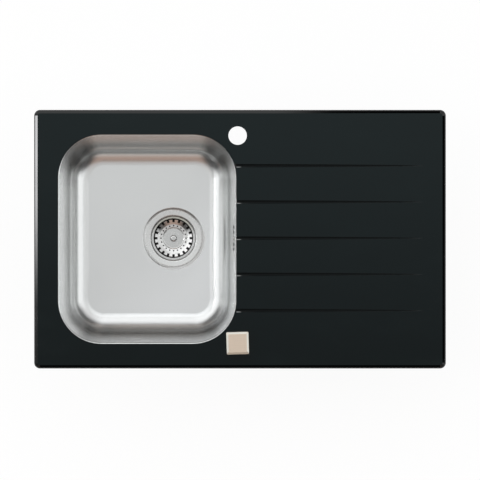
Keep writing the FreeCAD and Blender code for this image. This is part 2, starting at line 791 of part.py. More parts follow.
def cable_stop():
    """Arm on the waste body with the block that the cable's sheath stands against."""
    reach = BODY_RADIUS - BODY_WALL / 2
    foot_near = math.radians(-55)
    foot_far = math.radians(-25)
    block_rear = CRANK_Y + STOP_WIDTH / 2
    arm = [
        (WASTE_X + reach * math.cos(foot_near), SERVICE_Y + reach * math.sin(foot_near), 0),
        (STOP_X, block_rear, 0),
        (STOP_X + STOP_LENGTH, block_rear, 0),
        (WASTE_X + reach * math.cos(foot_far), SERVICE_Y + reach * math.sin(foot_far), 0),
    ]
    pad = rectangle(STOP_X + STOP_LENGTH / 2, CRANK_Y, STOP_LENGTH, STOP_WIDTH, 2)
    return joined(
        block(arm, WIRE_Z - ARM_HEIGHT / 2, WIRE_Z + ARM_HEIGHT / 2),
        block(pad, WIRE_Z - STOP_WIDTH / 2, WIRE_Z + STOP_WIDTH / 2),
    )


def make_waste_body():
    inner_radius = BODY_RADIUS - BODY_WALL
    outlet_bore = OUTLET_RADIUS - OUTLET_WALL
    outside = [
        (0, BODY_TOP, 0),
        (BODY_RIM_RADIUS, BODY_TOP, 0),
        (BODY_RIM_RADIUS, BODY_TOP - BODY_RIM_HEIGHT, 1),
        (BODY_RADIUS, BODY_TOP - BODY_RIM_HEIGHT, 2),
        (BODY_RADIUS, RECESS - BODY_CONE_START, 8),
        (OUTLET_RADIUS, RECESS - BODY_CONE_END, 4),
        (OUTLET_RADIUS, RECESS - BODY_NECK_END, 0),
        (0, RECESS - BODY_NECK_END, 0),
    ]
    inside = [
        (0, BODY_TOP, 0),
        (inner_radius, BODY_TOP, 0),
        (inner_radius, RECESS - BODY_CONE_START + BODY_WALL / 2, 6),
        (outlet_bore, RECESS - BODY_CONE_END + BODY_WALL / 2, 6),
        (outlet_bore, RECESS - BODY_NECK_END, 0),
        (0, RECESS - BODY_NECK_END, 0),
    ]
    nozzle_end = WASTE_X + BODY_RADIUS + NOZZLE_LENGTH
    nozzle = rod(
        NOZZLE_RADIUS,
        point(WASTE_X + inner_radius / 2, SERVICE_Y, INLET_Z),
        point(nozzle_end, SERVICE_Y, INLET_Z),
    )
    boss = rod(
        SHAFT_BOSS_RADIUS,
        point(SHAFT_X, SERVICE_Y - inner_radius / 2, SHAFT_Z),
        point(SHAFT_X, BOSS_FACE_Y, SHAFT_Z),
    )
    moulding = joined(turned(outside, WASTE_X, SERVICE_Y), nozzle, boss, cable_stop())
    shell = moulding.cut(turned(inside, WASTE_X, SERVICE_Y))

    spider_bottom = SPIDER_TOP - SPIDER_HEIGHT
    rib = Part.makeBox(
        inner_radius + BODY_WALL / 2,
        SPIDER_THICKNESS,
        SPIDER_HEIGHT - 1,
        point(WASTE_X, SERVICE_Y - SPIDER_THICKNESS / 2, spider_bottom),
    )
    rib = turned_copy(rib, point(WASTE_X, SERVICE_Y, 0), Z_AXIS, 90)
    hub = rod(
        SPIDER_BOSS_RADIUS,
        point(WASTE_X, SERVICE_Y, spider_bottom),
        point(WASTE_X, SERVICE_Y, SPIDER_TOP),
    )
    shell = joined(shell, hub, *spread(rib, WASTE_X, SERVICE_Y, SPIDER_COUNT))

    wall_line = WASTE_X + inner_radius - BODY_WALL
    screw_bore = rod(
        GUIDE_SCREW_RADIUS + SEAT_GAP,
        point(WASTE_X, SERVICE_Y, spider_bottom - 1),
        point(WASTE_X, SERVICE_Y, SPIDER_TOP + 1),
    )
    inlet_bore = rod(
        NOZZLE_BORE,
        point(wall_line, SERVICE_Y, INLET_Z),
        point(nozzle_end + 1, SERVICE_Y, INLET_Z),
    )
    shaft_bore = rod(
        SHAFT_RADIUS + RUNNING_GAP,
        point(SHAFT_X, SERVICE_Y, SHAFT_Z),
        point(SHAFT_X, BOSS_FACE_Y - 1, SHAFT_Z),
    )
    seal_pocket = rod(
        SEAL_POCKET_RADIUS,
        point(SHAFT_X, BOSS_FACE_Y + SEAL_POCKET_DEPTH, SHAFT_Z),
        point(SHAFT_X, BOSS_FACE_Y - 1, SHAFT_Z),
    )
    wire_hole = rod(
        WIRE_RADIUS + FREE_GAP,
        point(STOP_X - 1, CRANK_Y, WIRE_Z),
        point(SHEATH_END_X + 1, CRANK_Y, WIRE_Z),
    )
    ferrule_pocket = rod(
        FERRULE_RADIUS + SEAT_GAP,
        point(SHEATH_END_X, CRANK_Y, WIRE_Z),
        point(STOP_X + STOP_LENGTH + 1, CRANK_Y, WIRE_Z),
    )
    return shell.cut(
        [screw_bore, inlet_bore, shaft_bore, seal_pocket, wire_hole, ferrule_pocket]
    )


def make_outlet_tail():
    """Threaded tail, welded end to end with the neck of the waste body."""
    return pipe(
        OUTLET_RADIUS,
        OUTLET_RADIUS - OUTLET_WALL,
        point(WASTE_X, SERVICE_Y, RECESS - OUTLET_END),
        point(WASTE_X, SERVICE_Y, RECESS - BODY_NECK_END),
    )


def make_guide_screw():
    centre = point(WASTE_X, SERVICE_Y, CUP_FLOOR)
    head = hexagon(GUIDE_HEAD_RADIUS * 2 * 0.866, centre, centre + Z_AXIS * GUIDE_HEAD_HEIGHT)
    shank = rod(GUIDE_SCREW_RADIUS, centre, centre - Z_AXIS * GUIDE_LENGTH)
    bore = rod(
        PIN_RADIUS + RUNNING_GAP,
        centre + Z_AXIS * (GUIDE_HEAD_HEIGHT + 1),
        centre - Z_AXIS * (GUIDE_LENGTH + 1),
    )
    return joined(head, shank).cut(bore)


# Strainer basket and lift pin


def make_strainer_basket():
    path = [
        (BASKET_RIM_RADIUS, BASKET_SEAT, 0),
        (BASKET_RIM_RADIUS, BASKET_SEAT + BASKET_RIM_HEIGHT, 1),
        (BASKET_MOUTH_RADIUS, BASKET_SEAT + BASKET_RIM_HEIGHT, 1.2),
        (BASKET_FOOT_RADIUS, BASKET_FLOOR + BASKET_BAND_RISE, BASKET_CORNER),
        (BASKET_RING_RADIUS, BASKET_FLOOR, BASKET_BEND),
        (DISH_EDGE_RADIUS, DISH_EDGE, DISH_BEND),
        (DISH_RADIUS, DISH_FLOOR, DISH_BEND),
        (STEM_STUD_RADIUS + SEAT_GAP, DISH_FLOOR, 0),
    ]
    basket = turned(sheet(path, BASKET_SHEET), WASTE_X, SERVICE_Y)
    below = DISH_EDGE - BASKET_SHEET - 1
    slot_start = BASKET_FOOT_RADIUS - BASKET_SLOT_REACH
    slot = Part.makeBox(
        BASKET_RIM_RADIUS - slot_start,
        BASKET_SLOT_WIDTH,
        BASKET_SEAT + BASKET_RIM_HEIGHT - BASKET_SLOT_TOP - below,
        point(WASTE_X + slot_start, SERVICE_Y - BASKET_SLOT_WIDTH / 2, below),
    )
    hole_x = WASTE_X + BASKET_HOLE_CIRCLE
    hole = rod(
        BASKET_HOLE_RADIUS,
        point(hole_x, SERVICE_Y, below),
        point(hole_x, SERVICE_Y, BASKET_FLOOR + 1),
    )
    slots = spread(slot, WASTE_X, SERVICE_Y, BASKET_OPENINGS)
    holes = spread(hole, WASTE_X, SERVICE_Y, BASKET_OPENINGS)
    return basket.cut(slots + holes)


def make_basket_seal():
    """Ring on the seat with a tongue held inside the basket's turned-down rim."""
    outer = BASKET_RIM_RADIUS - BASKET_SEAL_INSET
    inner = CUP_RADIUS - BASKET_SEAL_INSET
    tongue = BASKET_RIM_RADIUS - BASKET_SHEET - SEAT_GAP
    under_rim = BASKET_SEAT - SEAT_GAP
    profile = [
        (inner, BASKET_SEAT - BASKET_SEAL_THICKNESS + SEAT_GAP, 0),
        (outer, BASKET_SEAT - BASKET_SEAL_THICKNESS + SEAT_GAP, 0),
        (outer, under_rim, 0),
        (tongue, under_rim, 0),
        (tongue, under_rim + BASKET_TONGUE, 0),
        (inner, under_rim + BASKET_TONGUE, 0),
    ]
    return turned(profile, WASTE_X, SERVICE_Y)


def make_basket_button():
    neck_top = DISH_FLOOR + BUTTON_HEIGHT - BUTTON_HEAD
    profile = [
        (0, DISH_FLOOR, 0),
        (BUTTON_NECK_RADIUS, DISH_FLOOR, 0),
        (BUTTON_NECK_RADIUS, neck_top, 0.6),
        (BUTTON_RADIUS, neck_top, 0.8),
        (BUTTON_RADIUS, DISH_FLOOR + BUTTON_HEIGHT, BUTTON_CROWN),
        (0, DISH_FLOOR + BUTTON_HEIGHT, 0),
    ]
    socket = rod(
        STEM_STUD_RADIUS + SEAT_GAP,
        point(WASTE_X, SERVICE_Y, DISH_FLOOR),
        point(WASTE_X, SERVICE_Y, DISH_FLOOR + STEM_STUD_GRIP + SEAT_GAP),
    )
    return turned(profile, WASTE_X, SERVICE_Y).cut(socket)


def make_basket_stem():
    top = point(WASTE_X, SERVICE_Y, STEM_TOP)
    end = point(WASTE_X, SERVICE_Y, STEM_END)
    stud_top = point(WASTE_X, SERVICE_Y, DISH_FLOOR + STEM_STUD_GRIP)
    socket = rod(PIN_RADIUS + FREE_GAP, end, point(WASTE_X, SERVICE_Y, SOCKET_TOP))
    return joined(rod(STEM_RADIUS, end, top), rod(STEM_STUD_RADIUS, top, stud_top)).cut(socket)


def make_lift_pin():
    """Pin with a round nose for the finger and a collar that keeps it in its guide."""
    profile = [
        (0, PIN_END, 0),
        (PIN_RADIUS, PIN_END, PIN_RADIUS * 0.9),
        (PIN_RADIUS, PIN_COLLAR, 0),
        (PIN_COLLAR_RADIUS, PIN_COLLAR, 0),
        (PIN_COLLAR_RADIUS, PIN_COLLAR + PIN_COLLAR_HEIGHT, 0),
        (PIN_RADIUS, PIN_COLLAR + PIN_COLLAR_HEIGHT, 0),
        (PIN_RADIUS, PIN_TOP, 0.5),
        (0, PIN_TOP, 0),
    ]
    return turned(profile, WASTE_X, SERVICE_Y)


# Lever


def at_rest(shape):
    """Turns a lever piece from level to its rest angle."""
    return turned_copy(shape, point(SHAFT_X, 0, SHAFT_Z), Y_AXIS, LEVER_REST_ANGLE)


def make_lever_shaft():
    return rod(
        SHAFT_RADIUS,
        point(SHAFT_X, CRANK_INNER_Y - CRANK_THICKNESS, SHAFT_Z),
        point(SHAFT_X, SERVICE_Y + SHAFT_TAIL, SHAFT_Z),
    )


def make_lift_finger():
    """Arm with a hub on the shaft and a round tip under the lift pin."""
    front = SERVICE_Y - FINGER_WIDTH / 2
    across = Y_AXIS * FINGER_WIDTH
    hub_centre = point(SHAFT_X, front, SHAFT_Z)
    tip_centre = hub_centre - X_AXIS * FINGER_LENGTH
    arm = Part.makeBox(
        FINGER_LENGTH,
        FINGER_WIDTH,
        FINGER_THICKNESS,
        tip_centre - Z_AXIS * (FINGER_THICKNESS / 2),
    )
    finger = joined(
        arm,
        rod(FINGER_HUB_RADIUS, hub_centre, hub_centre + across),
        rod(FINGER_TIP_RADIUS, tip_centre, tip_centre + across),
    )
    bore = rod(SHAFT_RADIUS + SEAT_GAP / 2, hub_centre, hub_centre + across)
    return at_rest(finger.cut(bore))


def make_crank_arm():
    """Arm whose sides run tangent from the hub to the slotted eye for the wire's nipple."""
    slant = (CRANK_HUB_RADIUS - CRANK_EYE_RADIUS) / CRANK_RADIUS
    flank = math.sqrt(1 - slant ** 2)
    eye_z = SHAFT_Z + CRANK_RADIUS

    def rim(radius, across, up, z):
        return point(SHAFT_X + radius * across, CRANK_INNER_Y, z + radius * up)

    hub = [rim(CRANK_HUB_RADIUS, side * flank, slant, SHAFT_Z) for side in (-1, 1)]
    eye = [rim(CRANK_EYE_RADIUS, side * flank, slant, eye_z) for side in (-1, 1)]
    hub_foot = rim(CRANK_HUB_RADIUS, 0, -1, SHAFT_Z)
    eye_crown = rim(CRANK_EYE_RADIUS, 0, 1, eye_z)
    sides = [
        Part.makeLine(hub[0], eye[0]),
        Part.Arc(eye[0], eye_crown, eye[1]).toShape(),
        Part.makeLine(eye[1], hub[1]),
        Part.Arc(hub[1], hub_foot, hub[0]).toShape(),
    ]
    bar = Part.Face(Part.Wire(sides)).extrude(point(0, -CRANK_THICKNESS, 0))
    bore = rod(
        SHAFT_RADIUS + SEAT_GAP / 2,
        point(SHAFT_X, CRANK_INNER_Y + 1, SHAFT_Z),
        point(SHAFT_X, CRANK_INNER_Y - CRANK_THICKNESS - 1, SHAFT_Z),
    )
    seat = NIPPLE_RADIUS + FREE_GAP
    eye_slot = rectangle(0, 0, 2 * seat, 2 * seat + CRANK_SLOT, seat * 0.99)
    wire = rounded_wire(eye_slot, lambda u, v: point(SHAFT_X + u, CRANK_INNER_Y + 1, eye_z + v))
    slot = Part.Face(wire).extrude(point(0, -CRANK_THICKNESS - 2, 0))
    wire_gap = Part.makeBox(
        CRANK_EYE_RADIUS * 2,
        2 * (WIRE_RADIUS + FREE_GAP),
        CRANK_EYE_RADIUS * 4,
        point(SHAFT_X, CRANK_Y - WIRE_RADIUS - FREE_GAP, eye_z - CRANK_EYE_RADIUS * 2),
    )
    return at_rest(bar.cut([bore, slot, wire_gap]))


def make_crank_screw():
    start = point(SHAFT_X, CRANK_INNER_Y - CRANK_THICKNESS, SHAFT_Z)
    return at_rest(rod(CRANK_SCREW_RADIUS, start, start - Y_AXIS * CRANK_SCREW_HEIGHT))


def make_shaft_seal():
    section = (SEAL_POCKET_RADIUS - SHAFT_RADIUS) / 2 - SEAT_GAP
    middle = (SEAL_POCKET_RADIUS + SHAFT_RADIUS) / 2
    seat = point(SHAFT_X, BOSS_FACE_Y + SEAL_POCKET_DEPTH / 2, SHAFT_Z)
    return Part.makeTorus(middle, section, seat, Y_AXIS)


def make_shaft_gland():
    cap_face = BOSS_FACE_Y - GLAND_CAP
    start = point(SHAFT_X, cap_face, SHAFT_Z)
    nut = hexagon(GLAND_FLATS, start, start + Y_AXIS * GLAND_LENGTH)
    pocket = rod(
        SHAFT_BOSS_RADIUS + SEAT_GAP,
        point(SHAFT_X, BOSS_FACE_Y - SEAT_GAP, SHAFT_Z),
        start + Y_AXIS * (GLAND_LENGTH + 1),
    )
    bore = rod(SHAFT_RADIUS + FREE_GAP, start - Y_AXIS, start + Y_AXIS * GLAND_LENGTH)
    return nut.cut([pocket, bore])


# Overflow


def make_overflow_gasket():
    end = GASKET_THICKNESS
    ring = wall_plate(OVERFLOW_LENGTH, OVERFLOW_HEIGHT, OVERFLOW_CORNER, 0, end)
    hollow = wall_plate(
        OVERFLOW_LENGTH - 2 * OVERFLOW_WALL,
        OVERFLOW_HEIGHT - 2 * OVERFLOW_WALL,
        OVERFLOW_CORNER - OVERFLOW_WALL,
        0,
        end,
    )
    return on_wall(ring.cut(hollow))


def make_overflow_housing():
    start = GASKET_THICKNESS
    end = start + OVERFLOW_DEPTH
    case = wall_plate(OVERFLOW_LENGTH, OVERFLOW_HEIGHT, OVERFLOW_CORNER, start, end)
    back_edges = [edge for edge in case.Edges if edge.BoundBox.XMin > end - 0.01]
    case = case.makeFillet(OVERFLOW_WALL, back_edges)
    bottom = -OVERFLOW_HEIGHT / 2
    nozzle = rod(
        NOZZLE_RADIUS,
        point(NOZZLE_STANDOFF, 0, bottom + OVERFLOW_WALL),
        point(NOZZLE_STANDOFF, 0, bottom - NOZZLE_LENGTH),
    )
    hollow = wall_plate(
        OVERFLOW_LENGTH - 2 * OVERFLOW_WALL,
        OVERFLOW_HEIGHT - 2 * OVERFLOW_WALL,
        OVERFLOW_CORNER - OVERFLOW_WALL,
        start,
        end - OVERFLOW_WALL,
    )
    boss = rod(SCREW_BOSS_RADIUS, point(start, 0, 0), point(end - OVERFLOW_WALL / 2, 0, 0))
    bore = rod(
        NOZZLE_BORE,
        point(NOZZLE_STANDOFF, 0, -SCREW_BOSS_RADIUS - NOZZLE_BORE / 2),
        point(NOZZLE_STANDOFF, 0, bottom - NOZZLE_LENGTH - 1),
    )
    screw_bore = rod(
        OVERFLOW_SCREW_RADIUS + SEAT_GAP,
        point(start - 1, 0, 0),
        point(OVERFLOW_SCREW_GRIP + FREE_GAP, 0, 0),
    )
    shell = joined(joined(case, nozzle).cut(hollow), boss)
    return on_wall(shell.cut([bore, screw_bore]))


def make_overflow_screw():
    face = -BOWL_SHEET - SEAT_GAP
    crown = face - OVERFLOW_SCREW_CROWN
    head = Part.makeCylinder(
        OVERFLOW_SCREW_HEAD, OVERFLOW_SCREW_CROWN, point(crown, 0, 0), X_AXIS
    )
    crown_edges = [edge for edge in head.Edges if edge.BoundBox.XMax < crown + 0.01]
    head = head.makeFillet(OVERFLOW_SCREW_CROWN * 0.8, crown_edges)
    shank = rod(OVERFLOW_SCREW_RADIUS, point(face, 0, 0), point(OVERFLOW_SCREW_GRIP, 0, 0))
    return on_wall(joined(head, shank))


def hose_corners():
    """Start, turning point and end of the hose's centre line."""
    lean = math.radians(WALL_LEAN)
    out = NOZZLE_STANDOFF
    down = -OVERFLOW_HEIGHT / 2 - HOSE_STANDOFF
    start = point(
        OVERFLOW_X + out * math.cos(lean) + down * math.sin(lean),
        SERVICE_Y,
        OVERFLOW_Z - out * math.sin(lean) + down * math.cos(lean),
    )
    turn_x = start.x - (start.z - INLET_Z) * math.tan(lean)
    end_x = WASTE_X + BODY_RADIUS + HOSE_STANDOFF
    return [start, point(turn_x, SERVICE_Y, INLET_Z), point(end_x, SERVICE_Y, INLET_Z)]


def hose_path():
    """Centre line, with the bend as large as the straight end at the waste leaves room for."""
    corners = hose_corners()
    lower_run = corners[1].x - corners[2].x
    half_turn = math.radians(90 - WALL_LEAN) / 2
    return route(corners, (lower_run - HOSE_STRAIGHT) / math.tan(half_turn))


def make_overflow_hose():
    path = hose_path()
    starts = [0.0]
    for edge in path.OrderedEdges:
        starts.append(starts[-1] + edge.Length)

    def ring_at(distance, radius):
        """Circle square to the hose's line, with its X along the turning axis."""
        index = max(n for n in range(len(starts) - 1) if starts[n] <= distance)
        edge = path.OrderedEdges[index]
        along = min(distance - starts[index], edge.Length)
        parameter = edge.getParameterByLength(along)
        circle = Part.Circle(edge.valueAt(parameter), edge.tangentAt(parameter), radius)
        circle.XAxis = Y_AXIS
        return Part.Wire(circle.toShape())

    ribbed = path.Length - 2 * HOSE_CUFF_LENGTH
    count = int(ribbed / HOSE_RIB_PITCH)
    pitch = ribbed / count
    rings = [ring_at(0, HOSE_CUFF_RADIUS), ring_at(HOSE_CUFF_LENGTH - 1, HOSE_CUFF_RADIUS)]
    for index in range(count):
        foot = HOSE_CUFF_LENGTH + index * pitch
        crest = foot + HOSE_RIB_FLANK
        rings.append(ring_at(foot, HOSE_VALLEY_RADIUS))
        rings.append(ring_at(crest, HOSE_CREST_RADIUS))
        rings.append(ring_at(crest + HOSE_RIB_CREST, HOSE_CREST_RADIUS))
        rings.append(ring_at(crest + HOSE_RIB_CREST + HOSE_RIB_FLANK, HOSE_VALLEY_RADIUS))
    cuff = path.Length - HOSE_CUFF_LENGTH
    rings += [ring_at(cuff + 1, HOSE_CUFF_RADIUS), ring_at(path.Length, HOSE_CUFF_RADIUS)]
    return Part.makeLoft(rings, True, True).cut(tube(path, HOSE_BORE))


def make_hose_clips():
    """Screw clips round the hose's two cuffs, with their blocks to the front."""
    start, turn, end = hose_corners()
    middle = HOSE_CUFF_LENGTH / 2
    inner = HOSE_CUFF_RADIUS + SEAT_GAP
    outer = inner + CLIP_BAND_THICKNESS
    clips = []
    for seat, toward in ((start, turn), (end, turn)):
        way = (toward - seat).normalize()
        centre = seat + way * middle
        half = way * (CLIP_BAND_WIDTH / 2)
        band = rod(outer, centre - half, centre + half)
        box = Part.makeBox(
            CLIP_BLOCK_LENGTH,
            CLIP_BLOCK_HEIGHT + CLIP_BAND_THICKNESS,
            CLIP_BAND_WIDTH - 1,
            point(-CLIP_BLOCK_LENGTH / 2, -outer - CLIP_BLOCK_HEIGHT, -CLIP_BAND_WIDTH / 2 + 0.5),
        )
        box.Placement = FreeCAD.Placement(centre, FreeCAD.Rotation(Z_AXIS, way))
        clip = joined(band, box)
        clips.append(clip.cut(rod(inner, centre - half * 2, centre + half * 2)))
    return Part.makeCompound(clips)


# Control knob, bearing and drum


def control_point(z):
    return point(HOLE_X, -HOLE_Y, z)


def knob_turn(shape):
    """Turns a piece by the small angle that the knob stands at."""
    return turned_copy(shape, control_point(0), Z_AXIS, KNOB_REST_TURN)


def make_control_knob():
    top = KNOB_BOTTOM + KNOB_HEIGHT
    shoulder = top - KNOB_BEVEL_DROP
    face_side = KNOB_SIDE - 2 * KNOB_BEVEL_WIDTH
    base = rectangle(HOLE_X, -HOLE_Y, KNOB_SIDE, KNOB_SIDE, KNOB_CORNER)
    face = rectangle(HOLE_X, -HOLE_Y, face_side, face_side, KNOB_CORNER)
    sections = [outline(base, KNOB_BOTTOM), outline(base, shoulder), outline(face, top)]
    cube = Part.makeLoft(sections, True, True)
    bevel_edges = [
        edge
        for edge in cube.Edges
        if edge.BoundBox.ZMin > shoulder - 0.01 and edge.BoundBox.ZLength < 0.01
    ]
    cube = cube.makeFillet(KNOB_EDGE, bevel_edges)
    recess = rod(KNOB_RECESS_RADIUS, control_point(KNOB_BOTTOM - 1), control_point(KNOB_RECESS_TOP))
    bore = rod(
        SPINDLE_RADIUS + SEAT_GAP / 2,
        control_point(KNOB_BOTTOM),
        control_point(KNOB_RECESS_TOP + KNOB_BORE_DEPTH),
    )
    screw_z = SPINDLE_TOP - SPINDLE_FLAT_LENGTH / 2
    screw_hole = rod(
        KNOB_SCREW_RADIUS + SEAT_GAP,
        control_point(screw_z),
        control_point(screw_z) + Y_AXIS * KNOB_SIDE,
    )
    return knob_turn(cube.cut([recess, bore, screw_hole]))


def make_knob_screw():
    flat = control_point(SPINDLE_TOP - SPINDLE_FLAT_LENGTH / 2)
    flat += Y_AXIS * (SPINDLE_RADIUS - SPINDLE_FLAT)
    return knob_turn(rod(KNOB_SCREW_RADIUS, flat, flat + Y_AXIS * KNOB_SCREW_LENGTH))


def make_control_spindle():
    bar = rod(SPINDLE_RADIUS, control_point(DRUM_BOTTOM), control_point(SPINDLE_TOP))
    flat = Part.makeBox(
        SPINDLE_RADIUS * 2,
        SPINDLE_FLAT,
        SPINDLE_FLAT_LENGTH,
        control_point(SPINDLE_TOP - SPINDLE_FLAT_LENGTH)
        + point(-SPINDLE_RADIUS, SPINDLE_RADIUS - SPINDLE_FLAT, 0),
    )
    return knob_turn(bar.cut(flat))


def make_control_bush():
    top = BUSH_SEAT + BUSH_FLANGE_HEIGHT
    flange = rod(BUSH_FLANGE_RADIUS, control_point(BUSH_SEAT), control_point(top))
    barrel = rod(BUSH_RADIUS, control_point(BUSH_BOTTOM), control_point(BUSH_SEAT))
    bore = rod(SPINDLE_RADIUS + RUNNING_GAP, control_point(BUSH_BOTTOM), control_point(top))
    return joined(flange, barrel).cut(bore)


def make_bush_washer():
    return pipe(
        BUSH_FLANGE_RADIUS,
        BUSH_RADIUS + CONTROL_HOLE_CLEARANCE,
        control_point(GLASS_TOP),
        control_point(BUSH_SEAT),
    )


def make_nut_washer():
    return pipe(
        NUT_WASHER_RADIUS,
        BUSH_RADIUS + FREE_GAP,
        control_point(GLASS_BOTTOM - NUT_WASHER_THICKNESS),
        control_point(GLASS_BOTTOM),
    )


def make_control_nut():
    top = GLASS_BOTTOM - NUT_WASHER_THICKNESS
    nut = hexagon(CONTROL_NUT_FLATS, control_point(top - CONTROL_NUT_HEIGHT), control_point(top))
    bore = rod(
        BUSH_RADIUS + SEAT_GAP,
        control_point(top - CONTROL_NUT_HEIGHT),
        control_point(top),
    )
    return nut.cut(bore)


def make_cable_housing():
    collar_top = BUSH_BOTTOM + HOUSING_COLLAR
    collar = rod(HOUSING_COLLAR_RADIUS, control_point(BUSH_BOTTOM), control_point(collar_top))
    case = rod(HOUSING_RADIUS, control_point(CAVITY_BOTTOM), control_point(BUSH_BOTTOM))
    line = point(CABLE_X, -HOLE_Y, CABLE_Z)
    boss = rod(CABLE_BOSS_RADIUS, line, line + Y_AXIS * CABLE_BOSS_END)
    cuts = [
        rod(BUSH_RADIUS + SEAT_GAP, control_point(BUSH_BOTTOM), control_point(collar_top)),
        rod(SPINDLE_RADIUS + FREE_GAP, control_point(CAVITY_BOTTOM), control_point(BUSH_BOTTOM)),
        rod(HOUSING_RADIUS - HOUSING_WALL, control_point(CAVITY_BOTTOM), control_point(CAVITY_TOP)),
        rod(WIRE_RADIUS + FREE_GAP, line, line + Y_AXIS * CABLE_BOSS_END),
        rod(
            FERRULE_RADIUS + SEAT_GAP,
            line + Y_AXIS * CABLE_SHOULDER,
            line + Y_AXIS * (CABLE_BOSS_END + 1),
        ),
    ]
    return joined(case, collar, boss).cut(cuts)


def make_housing_cover():
    plate = rod(
        HOUSING_RADIUS,
        control_point(CAVITY_BOTTOM - COVER_THICKNESS),
        control_point(CAVITY_BOTTOM),
    )
    plug = pipe(
        HOUSING_RADIUS - HOUSING_WALL - SEAT_GAP,
        DRUM_FLANGE_RADIUS + FREE_GAP,
        control_point(CAVITY_BOTTOM),
        control_point(CAVITY_BOTTOM + DRUM_SCREW_HEIGHT),
    )
    return joined(plate, plug)


def drum_wrap(radius):
    """Wire round the drum from the cable's tangent, ending at its nipple."""
    centre = control_point(CABLE_Z)
    start = point(DRUM_PITCH_RADIUS, 0, 0)
    turns = [math.radians(-share * DRUM_WRAP - 8) for share in (0, 0.5, 1)]
    places = [
        centre + point(start.x * math.cos(turn), start.x * math.sin(turn), 0) for turn in turns
    ]
    arc = Part.Wire(Part.Arc(*places).toShape())
    return tube(arc, radius), places[-1]


def nipple(centre, radius, axis, length):
    return rod(radius, centre - axis * (length / 2), centre + axis * (length / 2))


def make_cable_drum():
    body = rod(DRUM_FLANGE_RADIUS, control_point(DRUM_BOTTOM), control_point(DRUM_TOP))
    groove = pipe(
        DRUM_FLANGE_RADIUS + 1,
        DRUM_PITCH_RADIUS - WIRE_RADIUS - SEAT_GAP,
        control_point(CABLE_Z - DRUM_GROOVE_WIDTH / 2),
        control_point(CABLE_Z + DRUM_GROOVE_WIDTH / 2),
    )
    bore = rod(SPINDLE_RADIUS + SEAT_GAP / 2, control_point(DRUM_BOTTOM), control_point(DRUM_TOP))
    anchor = drum_wrap(WIRE_RADIUS)[1]
    pocket = nipple(anchor, NIPPLE_RADIUS + SEAT_GAP, Z_AXIS, NIPPLE_RADIUS * 3 + SEAT_GAP * 2)
    return body.cut([groove, bore, pocket])


def make_drum_wire():
    wrap, anchor = drum_wrap(WIRE_RADIUS)
    return joined(wrap, nipple(anchor, NIPPLE_RADIUS, Z_AXIS, NIPPLE_RADIUS * 3))


def make_drum_screw():
    return rod(
        DRUM_SCREW_RADIUS,
        control_point(DRUM_BOTTOM - DRUM_SCREW_HEIGHT),
        control_point(DRUM_BOTTOM),
    )


# Control cable


def cable_corners(start_y, end_x):
    """Route from the drum housing, along the bowl's side, down and under to the crank."""
    return [
        point(CABLE_X, start_y, CABLE_Z),
        point(CABLE_X, CRANK_Y, CABLE_Z),
        point(CABLE_X, CRANK_Y, WIRE_Z),
        point(end_x, CRANK_Y, WIRE_Z),
    ]


def make_cable_sheath():
    path = route(cable_corners(CABLE_START_Y, SHEATH_END_X), CABLE_BEND)
    return tube(path, SHEATH_RADIUS).cut(tube(path, SHEATH_BORE))


def make_cable_wire():
    """Inner wire from the drum to where the moving end takes over, inside the sheath."""
    hand_over = SHAFT_X + WIRE_END_LENGTH + CRANK_RADIUS / 2
    corners = cable_corners(-HOLE_Y + 2 * WIRE_RADIUS, hand_over)
    return tube(route(corners, CABLE_BEND), WIRE_RADIUS)


def make_cable_ferrules():
    upper = point(CABLE_X, CABLE_START_Y, CABLE_Z)
    lower = point(SHEATH_END_X, CRANK_Y, WIRE_Z)
    bore = SHEATH_RADIUS + SEAT_GAP
    return Part.makeCompound(
        [
            pipe(FERRULE_RADIUS, bore, upper, upper + Y_AXIS * FERRULE_LENGTH),
            pipe(FERRULE_RADIUS, bore, lower, lower + X_AXIS * FERRULE_LENGTH),
        ]
    )


def make_wire_end():
    """Moving end of the wire with the nipple that sits in the crank's eye."""
    lean = math.radians(LEVER_REST_ANGLE)
    centre = point(SHAFT_X + CRANK_RADIUS * math.sin(lean), CRANK_Y, WIRE_Z)
    bar = rod(WIRE_RADIUS, centre, centre + X_AXIS * WIRE_END_LENGTH)
    return joined(bar, nipple(centre, NIPPLE_RADIUS, Y_AXIS, CRANK_THICKNESS))


# Fixing rails and clips


def make_rail(outer, length, angle):
    """Angle with a leg under the glass and one down at its inner side, turned to its place."""
    path = [
        (outer, GLASS_BOTTOM, 0),
        (outer - RAIL_WIDTH, GLASS_BOTTOM, RAIL_BEND),
        (outer - RAIL_WIDTH, GLASS_BOTTOM - RAIL_DROP, 0),
    ]
    wire = rounded_wire(sheet(path, RAIL_SHEET), lambda u, v: point(-length / 2, u, v))
    bar = Part.Face(wire).extrude(point(length, 0, 0))
    return turned_copy(bar, point(0, 0, 0), Z_AXIS, angle)


def rail_line(cutout):
    return cutout / 2 - RAIL_GAP


def clip_places():
    """Stud centre and resting direction of each clip, side by side round the sink."""
    long_line = rail_line(CUTOUT_DEPTH) - RAIL_WIDTH / 2
    short_line = rail_line(CUTOUT_LENGTH) - RAIL_WIDTH / 2
    along = [
        -LONG_RAIL_LENGTH / 2 + CLIP_LEFT_INSET,
        BOWL_RIGHT + CLIP_MIDDLE_OFFSET,
        LONG_RAIL_LENGTH / 2 - CLIP_RIGHT_INSET,
    ]
    places = [(x, side * long_line, 0) for side in (-1, 1) for x in along]
    return places + [(side * short_line, 0, 90) for side in (-1, 1)]


